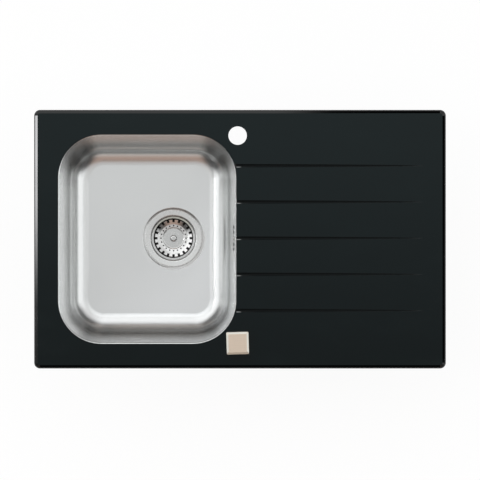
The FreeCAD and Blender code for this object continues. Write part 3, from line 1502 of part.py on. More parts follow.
def make_claw(x, y, turn):
    path = [
        (CLAW_REACH, CLAW_TOP + CLAW_STEP, 0),
        (CLAW_REACH - CLAW_TIP, CLAW_TOP + CLAW_STEP, CLAW_SHEET),
        (CLAW_REACH - CLAW_TIP - CLAW_STEP_RUN, CLAW_TOP, CLAW_SHEET),
        (-CLAW_HEEL, CLAW_TOP, 0),
    ]
    wire = rounded_wire(sheet(path, CLAW_SHEET), lambda u, v: point(u, -CLAW_WIDTH / 2, v))
    strip = Part.Face(wire).extrude(point(0, CLAW_WIDTH, 0))
    length = CLAW_REACH + CLAW_HEEL
    plan = rectangle((CLAW_REACH - CLAW_HEEL) / 2, 0, length, CLAW_WIDTH, CLAW_WIDTH / 4)
    strip = strip.common(block(plan, STUD_END, 0))
    hole = rod(STUD_RADIUS + 2 * RUNNING_GAP, point(0, 0, STUD_END), point(0, 0, 0))
    claw = turned_copy(strip.cut(hole), point(0, 0, 0), Z_AXIS, turn)
    claw.translate(point(x, y, 0))
    return claw


def at_clips(shape):
    copies = []
    for x, y, turn in clip_places():
        copy = turned_copy(shape, point(0, 0, 0), Z_AXIS, turn)
        copy.translate(point(x, y, 0))
        copies.append(copy)
    return Part.makeCompound(copies)


def make_clip_studs():
    return at_clips(rod(STUD_RADIUS, point(0, 0, STUD_END), point(0, 0, RAIL_UNDER)))


def make_clip_washers():
    return at_clips(
        pipe(
            WASHER_RADIUS,
            STUD_RADIUS + RUNNING_GAP,
            point(0, 0, WASHER_UNDER),
            point(0, 0, WASHER_UNDER + WASHER_THICKNESS),
        )
    )


def make_clip_wing_nuts():
    hub = rod(NUT_HUB_RADIUS, point(0, 0, NUT_UNDER), point(0, 0, WASHER_UNDER))
    wing = [
        (0, WASHER_UNDER - 1, 0),
        (NUT_WING_REACH, NUT_UNDER + NUT_WING_RISE / 2, 1.5),
        (NUT_WING_REACH, NUT_UNDER - NUT_WING_RISE, 1.5),
        (NUT_HUB_RADIUS, NUT_UNDER, 0),
        (0, NUT_UNDER, 0),
    ]
    half = NUT_WING_THICKNESS / 2
    wire = rounded_wire(wing, lambda u, v: point(u, -half, v))
    plate = Part.Face(wire).extrude(point(0, NUT_WING_THICKNESS, 0))
    wings = spread(plate, 0, 0, 2)
    bore = rod(STUD_RADIUS + RUNNING_GAP, point(0, 0, NUT_UNDER - 1), point(0, 0, WASHER_UNDER))
    return at_clips(joined(hub, *wings).cut(bore))


def build():
    long_line = rail_line(CUTOUT_DEPTH)
    short_line = rail_line(CUTOUT_LENGTH)
    parts = {
        "glass_top": make_glass_top(),
        "sealing_strip": make_sealing_strip(),
        "bowl": make_bowl(),
        "bowl_bond": make_bowl_bond(),
        "sound_pad": make_sound_pad(),
        "waste_flange": make_waste_flange(),
        "flange_seal": make_flange_seal(),
        "body_seal": make_body_seal(),
        "waste_body": make_waste_body(),
        "outlet_tail": make_outlet_tail(),
        "guide_screw": make_guide_screw(),
        "strainer_basket": make_strainer_basket(),
        "basket_seal": make_basket_seal(),
        "basket_button": make_basket_button(),
        "basket_stem": make_basket_stem(),
        "lift_pin": make_lift_pin(),
        "lever_shaft": make_lever_shaft(),
        "lift_finger": make_lift_finger(),
        "crank_arm": make_crank_arm(),
        "crank_screw": make_crank_screw(),
        "shaft_seal": make_shaft_seal(),
        "shaft_gland": make_shaft_gland(),
        "overflow_gasket": make_overflow_gasket(),
        "overflow_housing": make_overflow_housing(),
        "overflow_screw": make_overflow_screw(),
        "overflow_hose": make_overflow_hose(),
        "hose_clips": make_hose_clips(),
        "control_knob": make_control_knob(),
        "knob_screw": make_knob_screw(),
        "control_spindle": make_control_spindle(),
        "control_bush": make_control_bush(),
        "bush_washer": make_bush_washer(),
        "nut_washer": make_nut_washer(),
        "control_nut": make_control_nut(),
        "cable_housing": make_cable_housing(),
        "housing_cover": make_housing_cover(),
        "cable_drum": make_cable_drum(),
        "drum_wire": make_drum_wire(),
        "drum_screw": make_drum_screw(),
        "cable_sheath": make_cable_sheath(),
        "cable_wire": make_cable_wire(),
        "cable_ferrules": make_cable_ferrules(),
        "wire_end": make_wire_end(),
        "rail_rear": make_rail(long_line, LONG_RAIL_LENGTH, 0),
        "rail_left": make_rail(short_line, SHORT_RAIL_LENGTH, 90),
        "rail_front": make_rail(long_line, LONG_RAIL_LENGTH, 180),
        "rail_right": make_rail(short_line, SHORT_RAIL_LENGTH, 270),
        "clip_studs": make_clip_studs(),
        "clip_washers": make_clip_washers(),
        "clip_wing_nuts": make_clip_wing_nuts(),
    }
    for number, place in enumerate(clip_places(), start=1):
        parts[f"clip_claw_{number}"] = make_claw(*place)
    return parts


os.makedirs("parts", exist_ok=True)
for name, shape in build().items():
    if not shape.isValid():
        print(f"{name} is not a valid shape")
    shape.exportStep(f"parts/{name}.step")
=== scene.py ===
# %% [markdown]
# # An inset kitchen sink, dressed for the studio
#
# The frame holds every solid of the sink in its place, in metres: a black glass top, a pressed
# steel bowl, a basket waste that pops up at the turn of a knob, and the cable, hose and clips
# underneath. This lesson gives each of them its finish, adds two screw threads that the solids
# leave out, and looks at the whole from straight above, as the photograph does.

# %% Open the frame
import json
import math

import bmesh
import bpy
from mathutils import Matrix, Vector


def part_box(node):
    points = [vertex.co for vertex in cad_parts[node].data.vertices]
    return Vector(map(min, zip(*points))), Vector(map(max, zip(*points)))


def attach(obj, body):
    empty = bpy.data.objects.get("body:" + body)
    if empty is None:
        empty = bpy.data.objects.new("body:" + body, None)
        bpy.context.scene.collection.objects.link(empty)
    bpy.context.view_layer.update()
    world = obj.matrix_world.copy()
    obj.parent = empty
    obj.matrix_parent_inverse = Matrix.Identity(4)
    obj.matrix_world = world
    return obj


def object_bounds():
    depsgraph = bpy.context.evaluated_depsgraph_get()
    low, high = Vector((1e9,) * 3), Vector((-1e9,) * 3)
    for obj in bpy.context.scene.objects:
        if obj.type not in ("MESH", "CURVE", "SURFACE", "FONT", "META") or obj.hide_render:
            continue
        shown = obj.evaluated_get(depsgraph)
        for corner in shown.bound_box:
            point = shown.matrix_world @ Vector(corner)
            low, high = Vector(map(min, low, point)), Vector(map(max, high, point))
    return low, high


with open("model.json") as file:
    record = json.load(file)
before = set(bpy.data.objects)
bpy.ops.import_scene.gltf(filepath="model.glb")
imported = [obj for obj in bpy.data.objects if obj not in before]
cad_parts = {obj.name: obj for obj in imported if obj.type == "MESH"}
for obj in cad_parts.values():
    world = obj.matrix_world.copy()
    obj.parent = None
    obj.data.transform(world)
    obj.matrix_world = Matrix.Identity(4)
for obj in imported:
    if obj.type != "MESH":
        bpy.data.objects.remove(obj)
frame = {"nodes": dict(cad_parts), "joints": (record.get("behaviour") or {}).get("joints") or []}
cad_low, cad_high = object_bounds()
nodes = frame["nodes"]
scene = bpy.context.scene
scene.view_settings.view_transform = "Standard"
print(f"{len(nodes)} solids between {tuple(cad_low)} and {tuple(cad_high)}")

# %% [markdown]
# ## The camera
#
# A catalogue picture of a sink is taken from high above with a long lens, so that the bowl's walls
# show alike on all four sides. The glass fills a known share of the picture, and with the camera's
# height that share gives the lens.

# %% Set up the camera
PICTURE_PX = 480
GLASS_SPAN_PX = 411.8
CAMERA_HEIGHT = 6.15
CAMERA_Y = -0.0015
FARTHEST_SEEN = 200
SENSOR_MM = 36.0

glass_low, glass_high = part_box("glass_top")
view_width = (glass_high.x - glass_low.x) * PICTURE_PX / GLASS_SPAN_PX
lens = bpy.data.cameras.new("camera")
lens.sensor_width = SENSOR_MM
lens.lens = SENSOR_MM * CAMERA_HEIGHT / view_width
lens.clip_end = FARTHEST_SEEN
camera = bpy.data.objects.new("camera", lens)
camera.location = (0, CAMERA_Y, glass_high.z + CAMERA_HEIGHT)
scene.collection.objects.link(camera)
scene.camera = camera
print(f"a {lens.lens:.0f} mm lens sees {view_width:.3f} m across at the glass")

# %% [markdown]
# ## Sums on sockets
#
# A shader is a chain of small sums on textures. Adding each Math node by hand hides the idea, so
# one small class holds a socket: its operators add Math nodes, and its node method adds any other.
# The Mix node has sockets for every kind of data, so those for colours are named by their numbers.

# %% Wrap a socket
MIX_FACTOR = 0
MIX_FIRST = 6
MIX_SECOND = 7
MIX_RESULT = 2


class Wire:
    """One output in a node tree; sums on wires add their nodes to the tree."""

    def __init__(self, tree, socket=None):
        self.tree = tree
        self.socket = socket

    def node(self, kind, settings=None, inputs=None, out=0):
        """Any node: its settings are set first, then its inputs get their values or links."""
        made = self.tree.nodes.new("ShaderNode" + kind)
        for name, value in (settings or {}).items():
            setattr(made, name, value)
        for name, value in (inputs or {}).items():
            if isinstance(value, Wire):
                self.tree.links.new(value.socket, made.inputs[name])
            else:
                made.inputs[name].default_value = value
        return Wire(self.tree, made.outputs[out])

    def math(self, operation, first, second):
        return self.node("Math", {"operation": operation}, {0: first, 1: second})

    def __add__(self, other):
        return self.math("ADD", self, other)

    def __radd__(self, other):
        return self.math("ADD", other, self)

    def __sub__(self, other):
        return self.math("SUBTRACT", self, other)

    def __rsub__(self, other):
        return self.math("SUBTRACT", other, self)

    def __mul__(self, other):
        return self.math("MULTIPLY", self, other)

    def __rmul__(self, other):
        return self.math("MULTIPLY", other, self)

    def largest(self, other):
        return self.math("MAXIMUM", self, other)

    def size(self):
        """The value without its sign."""
        return self.node("Math", {"operation": "ABSOLUTE"}, {0: self})

    def smooth(self, low, high):
        """0 below low, 1 above high, and an even curve between."""
        settings = {"interpolation_type": "SMOOTHSTEP"}
        return self.node("MapRange", settings, {"Value": self, "From Min": low, "From Max": high})

    def within(self, low, high, edge):
        """1 between low and high, and 0 from an edge's width outside."""
        return self.smooth(low - edge, low) * (1 - self.smooth(high, high + edge))

    def blend(self, first, second):
        """The first colour where this wire is 0 and the second where it is 1."""
        inputs = {MIX_FACTOR: self, MIX_FIRST: opaque(first), MIX_SECOND: opaque(second)}
        return self.node("Mix", {"data_type": "RGBA"}, inputs, out=MIX_RESULT)

    def split(self):
        """The x, y and z of a vector."""
        parts = self.node("SeparateXYZ", inputs={0: self}).socket.node.outputs
        return [Wire(self.tree, socket) for socket in parts]


def opaque(colour):
    return colour if isinstance(colour, Wire) else (*colour, 1)


print("wires are ready for sums")

# %% [markdown]
# ## The light
#
# The steel shows its surroundings more than its own colour: the floor of the bowl mirrors what is
# straight above, the rounded foot of each wall mirrors the far side of the room, and the glass
# mirrors a small patch overhead. Lamps and panels could stand in the scene as objects, but painted
# on the world by direction they light the sink as well, and each has the soft edge it needs.
#
# A direction has a length of 1, so the limits below say how far it leans: an up of 1 is straight
# overhead and an up of 0 is level. The painting starts with the corners of the room, lit at the
# back and dark in front, and with a pale ceiling that is brightest in the middle.

# %% Paint corners and ceiling
REAR_LEFT_LIGHT = (1.30, 1.31, 1.31)
REAR_RIGHT_LIGHT = (0.80, 0.80, 0.80)
FRONT_CORNER_LIGHT = (0.05, 0.05, 0.05)
CEILING_LIGHT = (0.67, 0.685, 0.68)
RING_LIGHT = (0.93, 0.95, 0.945)

world = bpy.data.worlds.new("studio")
world.use_nodes = True
world.node_tree.nodes.clear()
scene.world = world
sky = Wire(world.node_tree)
across, depth, up = sky.node("TexCoord", out="Generated").split()
leftward = 0 - across
forward = 0 - depth
rear_corners = across.smooth(-0.2, 0.2).blend(REAR_LEFT_LIGHT, REAR_RIGHT_LIGHT)
behind = depth.smooth(-0.1, 0.3) * up.smooth(0.4, 0.75)
ceiling = up.smooth(0.82, 0.96)
ring = up.smooth(0.970, 0.988)
paint = behind.blend(FRONT_CORNER_LIGHT, rear_corners)
paint = ceiling.blend(paint, CEILING_LIGHT)
paint = ring.blend(paint, RING_LIGHT)
print("corners and ceiling are painted")

# %% [markdown]
# A bright panel stands behind the sink and one at each end. The front has no panel, only a wall
# that is pale high up, a warm brown below that, and pale again where it is level with the sink.

# %% Paint the panels
REAR_LIGHT = (1.20, 1.22, 1.22)
RIGHT_LIGHT = (1.13, 1.15, 1.15)
LEFT_LIGHT = (1.25, 1.27, 1.27)
HIGH_FRONT_LIGHT = (0.56, 0.55, 0.545)
FRONT_LIGHT = (0.46, 0.33, 0.27)
LOW_FRONT_LIGHT = (0.59, 0.56, 0.53)

front = forward.smooth(0.02, 0.14) * (1 - across.size().smooth(0.15, 0.4))
front_light = forward.smooth(0.2, 0.5).blend(HIGH_FRONT_LIGHT, FRONT_LIGHT)
front_light = forward.smooth(0.66, 0.95).blend(front_light, LOW_FRONT_LIGHT)
rear = depth.smooth(0.0, 0.17) * (1 - across.smooth(0.04, 0.3)) * (1 - leftward.smooth(0.2, 0.5))
rear = rear * up.smooth(0, 1)
end_width = 1 - depth.size().smooth(0.12, 0.4)
right = across.smooth(0.25, 0.50) * end_width
left = leftward.smooth(0.43, 0.60) * end_width * up.smooth(0.3, 0.65)
paint = front.blend(paint, front_light)
paint = rear.blend(paint, REAR_LIGHT)
paint = right.blend(paint, RIGHT_LIGHT)
paint = left.blend(paint, LEFT_LIGHT)
print("front, rear and ends are painted")

# %% [markdown]
# The ground edges of the glass mirror narrow strips of the room, about 28 degrees from upright.
# Thin black flags darken three of these strips, and one strong lamp brightens the strip that the
# left edge mirrors. Straight overhead hangs the lens with its dark surroundings, which the face of
# the glass mirrors.

# %% Hang flags, lens and lamp
FLAG_LIGHT = (0.03, 0.03, 0.03)
LENS_REAR_LIGHT = (0.40, 0.45, 0.46)
LENS_FRONT_LIGHT = (0.24, 0.23, 0.23)
LAMP_LIGHT = (15.0, 15.0, 15.2)
FLAG_EDGE = 0.012

front_flag = forward.within(0.435, 0.48, FLAG_EDGE) * across.within(-0.09, 0.09, 0.03)
rear_flag = depth.within(0.435, 0.48, FLAG_EDGE) * across.within(0.03, 0.09, 0.02)
right_flag = across.within(0.455, 0.50, FLAG_EDGE) * depth.within(-0.05, 0.05, 0.02)
flags = front_flag.largest(rear_flag).largest(right_flag) * up.smooth(0.2, 0.4)
lens_patch = up.smooth(0.9950, 0.9972)
lens_light = depth.smooth(-0.05, 0.05).blend(LENS_FRONT_LIGHT, LENS_REAR_LIGHT)
lamp = leftward.within(0.468, 0.488, 0.010) * up.smooth(0.2, 0.5)
lamp = lamp * depth.smooth(-0.024, 0.026) * (1 - depth.smooth(0.06, 0.1))
paint = flags.blend(paint, FLAG_LIGHT)
paint = lens_patch.blend(paint, lens_light)
paint = lamp.blend(paint, LAMP_LIGHT)
print("flags, lens and lamp are painted")

# %% [markdown]
# The camera itself sees none of this room. To its rays the world is plain white, and every other
# ray meets the paint.

# %% Hang the sky
seen = sky.node("LightPath", out="Is Camera Ray")
room_light = sky.node("Background", inputs={"Color": paint})
white = sky.node("Background", inputs={"Color": (1, 1, 1, 1)})
shown = sky.node("MixShader", inputs={0: seen, 1: room_light, 2: white})
world_out = world.node_tree.nodes.new("ShaderNodeOutputWorld")
world.node_tree.links.new(shown.socket, world_out.inputs["Surface"])
print(f"the sky takes {len(world.node_tree.nodes)} nodes")

# %% [markdown]
# ## The floor
#
# The sink stands on a wide pale floor. To the lens, in mirrors and through clear things most of its
# brightness is a glow of its own, and the rest is light that falls on it. Both together are white,
# and where the sink keeps light away its soft shadow stays. From below the floor is clear, so that
# the underside can be looked at.

# %% Lay the floor
FLOOR_REACH = 30.0
FLOOR_GLOW = 0.912
FLOOR_COLOUR = (0.9, 0.9, 0.9)
SEEN_FLOOR_COLOUR = (0.14, 0.14, 0.14)

floor_mesh = bpy.data.meshes.new("floor")
shaping = bmesh.new()
bmesh.ops.create_grid(shaping, x_segments=1, y_segments=1, size=FLOOR_REACH)
bmesh.ops.translate(shaping, verts=shaping.verts, vec=(0, 0, cad_low.z))
shaping.to_mesh(floor_mesh)
shaping.free()
floor = bpy.data.objects.new("floor", floor_mesh)
scene.collection.objects.link(floor)

pale = bpy.data.materials.new("pale floor")
pale.use_nodes = True
pale.node_tree.nodes.clear()
floor_wire = Wire(pale.node_tree)
camera_ray = floor_wire.node("LightPath", out="Is Camera Ray")
mirror_ray = floor_wire.node("LightPath", out="Is Glossy Ray")
clear_ray = floor_wire.node("LightPath", out="Is Transmission Ray")
looked_at = camera_ray.largest(mirror_ray).largest(clear_ray)
lit_colour = looked_at.blend(FLOOR_COLOUR, SEEN_FLOOR_COLOUR)
lit = floor_wire.node("BsdfDiffuse", inputs={"Color": lit_colour})
glow = floor_wire.node("Emission", inputs={"Strength": looked_at * FLOOR_GLOW})
top_side = floor_wire.node("AddShader", inputs={0: lit, 1: glow})
clear = floor_wire.node("BsdfTransparent")
under = floor_wire.node("NewGeometry", out="Backfacing")
both = floor_wire.node("MixShader", inputs={0: under, 1: top_side, 2: clear})
pale_out = pale.node_tree.nodes.new("ShaderNodeOutputMaterial")
pale.node_tree.links.new(both.socket, pale_out.inputs["Surface"])
floor.data.materials.append(pale)
print(f"the floor lies at {cad_low.z:.3f} m")

# %% [markdown]
# ## How a finish is put together
#
# A finish is one Principled shader, or two that are mixed on the glass. Its colour and roughness
# vary by textures on the piece's own coordinates, in metres, and a Bump node takes a height in
# millimetres. Values that are the same all over stay on the shader itself. The opening and closing
# lines are alike for all finishes, so helpers take them over.

# %% Helpers for finishes
MILLIMETRE = 0.001

finishes = {}


def open_finish(name):
    """A new material for a slot of the record, as the wire that starts it and its coordinates."""
    material = bpy.data.materials.new(name + "_finish")
    material.use_nodes = True
    material.node_tree.nodes.clear()
    finishes[name] = material
    start = Wire(material.node_tree)
    return start, start.node("TexCoord", out="Object")


def end_finish(shader):
    """Joins the shader to the output of the finish that was opened last."""
    output = shader.tree.nodes.new("ShaderNodeOutputMaterial")
    shader.tree.links.new(shader.socket, output.inputs["Surface"])
    print(f"{len(shader.tree.nodes)} nodes in {list(finishes)[-1]}")


def close_finish(start, height=None, **values):
    """Ends a finish with its shader; height is in millimetres."""
    inputs = {name.replace("_", " "): value for name, value in values.items()}
    if height is not None:
        bump = {"Strength": 1, "Distance": MILLIMETRE, "Height": height}
        inputs["Normal"] = start.node("Bump", inputs=bump)
    end_finish(start.node("BsdfPrincipled", inputs=inputs))


def noise(place, per_metre, detail=2.0):
    """Cloudy value of about 0.5, with so many changes to the metre along x, y and z."""
    scaled = place.node("Mapping", inputs={"Vector": place, "Scale": per_metre})
    inputs = {"Vector": scaled, "Scale": 1.0, "Detail": detail}
    return place.node("TexNoise", inputs=inputs)


def cells(place, per_metre):
    """Distance to the nearest of scattered points."""
    inputs = {"Vector": place, "Scale": per_metre}
    return place.node("TexVoronoi", inputs=inputs, out="Distance")


print("helpers are ready")

# %% [markdown]
# ## Black glass
#
# The top is tempered glass, 6 mm thick and enamelled black behind, with a cast of green and blue.
# It is almost a mirror: a base colour near black, the gloss of glass, and wipe marks and a little
# dust that show mostly in the roughness. What lies a hair below the face has been ground away and
# is darker still. The height of the surface finds it, so no map has to be painted.

# %% Face of the glass
GROUND_DIP = 0.00002
GLASS_IOR = 1.5
DEEP_GLASS = (0.0006, 0.0052, 0.0062)
WIPED_GLASS = (0.0014, 0.0078, 0.0088)
GROUND_GLASS = (0.0004, 0.0006, 0.0007)

start, place = open_finish("black_glass")
along, over, height = place.split()
wiped = noise(place, per_metre=(7, 16, 7), detail=4)
dust = noise(place, per_metre=(700, 700, 700)).smooth(0.66, 0.74)
ground = 1 - height.smooth(glass_high.z - 3 * GROUND_DIP, glass_high.z - GROUND_DIP)
tint = wiped.blend(DEEP_GLASS, WIPED_GLASS)
gloss = {"Base Color": ground.blend(tint, GROUND_GLASS), "IOR": GLASS_IOR}
gloss["Roughness"] = 0.03 + 0.03 * wiped.smooth(0.45, 0.7) + 0.06 * dust
face = start.node("BsdfPrincipled", inputs=gloss)
print(f"glass below {glass_high.z - GROUND_DIP:.5f} m counts as ground")

# %% [markdown]
# Between the bowl and the right edge, what is ground away is one of the drainer's grooves. They
# take a duller shader of their own. Near the bowl the front flank of each groove carries a painted
# highlight that fades away from the bowl, and the groove's very end carries a brighter painted
# highlight.

# %% Grooves of the drainer
GROOVES_LEFT = -0.0065
GROOVES_RIGHT = 0.365
GROOVES_HALF_WIDTH = 0.16
GROOVE_END_EDGE = 0.0005
GROOVE_SIDE_EDGE = 0.001
GROOVE_SPECULAR = 0.12
FLANK_HIGHLIGHT_LENGTH = 0.05
END_HIGHLIGHT_LENGTH = 0.005
GROOVE_GLASS = (0.002, 0.004, 0.0045)
FLANK_HIGHLIGHT_GLASS = (0.03, 0.032, 0.033)
END_HIGHLIGHT_GLASS = (0.55, 0.56, 0.56)

groove = ground * along.within(GROOVES_LEFT, GROOVES_RIGHT, GROOVE_END_EDGE)
groove = groove * over.within(-GROOVES_HALF_WIDTH, GROOVES_HALF_WIDTH, GROOVE_SIDE_EDGE)
facing_rear = start.node("NewGeometry", out="Normal").split()[1]
flank = facing_rear.smooth(0.35, 0.7)
# Painted highlights: a faint one on the front flank near the bowl, and a bright one at the groove's
# end.
flank_highlight = flank * (1 - along.smooth(GROOVES_LEFT, GROOVES_LEFT + FLANK_HIGHLIGHT_LENGTH))
end_highlight = flank * (1 - along.smooth(GROOVES_LEFT + END_HIGHLIGHT_LENGTH, GROOVES_LEFT + 2 * END_HIGHLIGHT_LENGTH))
dull = flank_highlight.blend(GROOVE_GLASS, FLANK_HIGHLIGHT_GLASS)
cut = {"Base Color": end_highlight.blend(dull, END_HIGHLIGHT_GLASS), "Specular IOR Level": GROOVE_SPECULAR}
cut["Roughness"] = 0.3 + 0.2 * noise(place, per_metre=(40, 900, 900), detail=3)
flute = start.node("BsdfPrincipled", inputs=cut)
end_finish(start.node("MixShader", inputs={0: groove, 1: face, 2: flute}))

# %% [markdown]
# ## Round the waste
#
# Several finishes change with the distance from the waste's upright axis: lathe rings, painted
# shade and a painted highlight. One helper measures that distance on a piece's own coordinates.

# %% Distance from the waste's axis
flange_low, flange_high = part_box("waste_flange")
waste_axis = (flange_low + flange_high) / 2
flange_radius = (flange_high.x - flange_low.x) / 2


def from_waste(place):
    """The place seen from the waste's axis, and its distance from that axis."""
    flat = {"Vector": place, "Location": (-waste_axis.x, -waste_axis.y, 0), "Scale": (1, 1, 0)}
    moved = place.node("Mapping", inputs=flat)
    return moved, place.node("VectorMath", {"operation": "LENGTH"}, {0: moved}, out="Value")


def lathe_rings(place, per_metre):
    """Noise that depends on the distance from the waste's axis alone."""
    radius = from_waste(place)[1]
    inputs = {"W": radius * per_metre, "Scale": 1.0, "Detail": 3.0}
    return place.node("TexNoise", {"noise_dimensions": "1D"}, inputs)


print(f"the waste's flange has a radius of {flange_radius * 1000:.1f} mm")

# %% [markdown]
# ## Brushed steel
#
# The bowl is pressed from stainless sheet and brushed, so its floor has fine lines one way and its
# walls have lines that run level. Two stretched noises make the lines, and the slope of the surface
# picks one. The painted shade and light on the walls belong on the inside alone, which is where a
# wall faces the bowl's middle.

# %% Brush lines
INSIDE_FADE = 0.02
STEEL_DARK = (0.80, 0.80, 0.805)
STEEL_LIGHT = (0.833, 0.838, 0.835)

bowl_low, bowl_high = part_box("bowl")
middle = (bowl_low + bowl_high) / 2
start, place = open_finish("brushed_steel")
along, over, height = place.split()
facing = start.node("NewGeometry", out="Normal").split()
inward = (middle.x - along) * facing[0] + (middle.y - over) * facing[1]
inside = inward.smooth(0.0, INSIDE_FADE)
slope = facing[2].size().smooth(0.5, 0.9)
floor_lines = noise(place, per_metre=(1700, 25, 25), detail=3)
wall_lines = noise(place, per_metre=(30, 30, 1700), detail=3)
lines = wall_lines + slope * (floor_lines - wall_lines)
steel = lines.blend(STEEL_DARK, STEEL_LIGHT)
print(f"the bowl's middle is at {middle.x:.4f}, {middle.y:.4f} m")

# %% [markdown]
# The walls carry painted shade and painted light. The front wall is painted darkest, in patches,
# and the wall on the drainer's side a little darker. The rear and left walls are painted lighter.
# The rear corners and the rear ends of the side walls are painted darker too. The way a wall faces
# tells which one it is, and the painted shade then follows the bowl's own round corners.

# %% Painted shade and light on the walls
# Colours of the painted shade and painted light on the inside walls.
FRONT_WALL_SHADE = (0.30, 0.307, 0.304)
LIT_WALL_STEEL = (0.95, 0.955, 0.95)
DRAINER_WALL_SHADE = (0.66, 0.67, 0.665)
REAR_END_SHADE = (0.62, 0.625, 0.62)
REAR_CORNER_SHADE = (0.48, 0.485, 0.48)
REAR_END_START = 0.095
REAR_END_FULL = 0.145

worn = noise(place, per_metre=(11, 14, 11), detail=3)
# Painted shade on the front wall in patches, painted light on the rear and left walls, and painted
# shade on the drainer's wall, the rear ends and the rear corners.
wear_and_shade = inside * facing[1].smooth(0.55, 0.9) * worn.smooth(0.1, 0.4)
lit_walls = inside * (0 - facing[1]).largest(facing[0]).smooth(0.35, 0.75)
drainer_wall = inside * (0 - facing[0]).smooth(0.55, 0.9)
rear_end_shade = inside * facing[0].size().smooth(0.5, 0.9) * over.smooth(REAR_END_START, REAR_END_FULL)
rear_corner_shade = inside * (0 - facing[0].size() * facing[1]).smooth(0.12, 0.4)
steel = wear_and_shade.blend(steel, FRONT_WALL_SHADE)
steel = lit_walls.blend(steel, LIT_WALL_STEEL)
steel = drainer_wall.blend(steel, DRAINER_WALL_SHADE)
steel = rear_end_shade.blend(steel, REAR_END_SHADE)
steel = rear_corner_shade.blend(steel, REAR_CORNER_SHADE)
print(f"{len(start.tree.nodes)} nodes so far")

# %% [markdown]
# The floor turns paler and a little bluer toward the drainer and the front. The step round the
# waste carries painted shade on the tap's side and a pale, matt painted highlight across from it.
# Painted shade covers the slots of the overflow. All but the paler floor is measured from the waste
# and from the overflow's screw, so each mark sits where its piece is.

# %% Paler floor, painted shade and a painted highlight
MARK_EDGE = 0.0003
STEP_WIDTH = 0.0032
STEP_HIGHLIGHT_WIDTH = 0.0052
INNER_SLOTS = (0.0085, 0.0147)
OUTER_SLOTS = (0.0181, 0.0243)
SLOTS_HALF_HEIGHT = 0.014
SLOTS_END_EDGE = 0.001
DIAGONAL = 0.7071
PALER_FLOOR_STEEL = (0.93, 0.935, 0.945)
# The step's dark colour and the slots' near black are painted shade, and the near white is a
# painted highlight.
STEP_SHADE = (0.46, 0.44, 0.43)
SLOT_SHADE = (0.06, 0.06, 0.06)
STEP_HIGHLIGHT = (0.97, 0.97, 0.97)

paler_floor = facing[2].smooth(0.975, 0.998) * (along - over).smooth(-0.22, 0.04)
moved, radius = from_waste(place)
east, north = moved.split()[:2]
step = radius.within(flange_radius, flange_radius + STEP_WIDTH, MARK_EDGE)
stain_and_shade = step * north.smooth(0.35 * flange_radius, 0.85 * flange_radius)
side = (east - north) * (DIAGONAL / flange_radius)
highlight_ring = radius.within(flange_radius, flange_radius + STEP_HIGHLIGHT_WIDTH, MARK_EDGE)
step_highlight = highlight_ring * side.smooth(0.25, 0.8)
screw_low, screw_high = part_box("overflow_screw")
overflow = (screw_low + screw_high) / 2
beside = (over - overflow.y).size()
slots = beside.within(*INNER_SLOTS, MARK_EDGE).largest(beside.within(*OUTER_SLOTS, MARK_EDGE))
above_screw = (height - overflow.z).size()
level = 1 - above_screw.smooth(SLOTS_HALF_HEIGHT, SLOTS_HALF_HEIGHT + SLOTS_END_EDGE)
# The floor turns paler toward the drainer and the front; then painted shade goes on the step and
# over the overflow's slots.
steel = paler_floor.blend(steel, PALER_FLOOR_STEEL)
steel = stain_and_shade.blend(steel, STEP_SHADE)
steel = (slots * level * drainer_wall).blend(steel, SLOT_SHADE)
# The matt near white on the step's far side is a painted highlight.
close_finish(
    start,
    height=0.0012 * lines,
    Base_Color=step_highlight.blend(steel, STEP_HIGHLIGHT),
    Roughness=0.22 + 0.04 * worn + 0.03 * lines + 0.3 * step_highlight,
    Metallic=1 - step_highlight,
)

# %% [markdown]
# ## Polished steel
#
# The basket, its button, the guide screw below them and the overflow's screw are turned and
# polished. Fine rings round the waste's axis stay from the lathe, and water leaves dull spots. The
# steep side of the basket's rim is painted near black as shade, and the rim on the tap's side is
# painted darker and browner, also as shade.

# %% Polished steel
LATHE_PER_METRE = 1600
LATHE_MM = 0.003
RIM_WALL_LOW = 0.0364
RIM_WALL_HIGH = 0.0384
RIM_HIGH = 0.0432
POLISHED_STEEL = (0.79, 0.785, 0.78)
SPOTTED_STEEL = (0.72, 0.72, 0.715)
RIM_TAP_SIDE_SHADE = (0.56, 0.54, 0.49)
RIM_WALL_SHADE = (0.055, 0.053, 0.048)

start, place = open_finish("polished_steel")
lathe = lathe_rings(place, LATHE_PER_METRE)
spots = noise(place, per_metre=(130, 130, 130)).smooth(0.6, 0.72)
moved, radius = from_waste(place)
# Painted shade: near black on the rim's steep side, and a darker brown on the rim at the tap's
# side.
rim_wall_shade = radius.within(RIM_WALL_LOW, RIM_WALL_HIGH, MARK_EDGE)
tapward = moved.split()[1] * (1 / RIM_HIGH)
rim_tap_side_shade = radius.within(RIM_WALL_HIGH, RIM_HIGH, MARK_EDGE) * tapward.smooth(0.1, 0.8)
polish = spots.blend(POLISHED_STEEL, SPOTTED_STEEL)
polish = rim_tap_side_shade.blend(polish, RIM_TAP_SIDE_SHADE)
close_finish(
    start,
    height=LATHE_MM * lathe,
    Base_Color=rim_wall_shade.blend(polish, RIM_WALL_SHADE),
    Roughness=0.19 + 0.05 * lathe + 0.08 * spots + 0.3 * rim_wall_shade,
    Metallic=1.0,
)

# %% [markdown]
# The flange has much the same polish. The cup below its seat is dull, and its colour is painted
# near black in mottled patches, as painted shade in that hollow. The height of the surface tells
# the two apart.

# %% Flange and cup
SEAT_BELOW_TOP = 0.0107
SEAT_FADE = 0.002
DEEP_CUP_SHADE = (0.07, 0.065, 0.06)
CUP_SHADE = (0.13, 0.125, 0.12)
FLANGE_STEEL = (0.79, 0.79, 0.785)

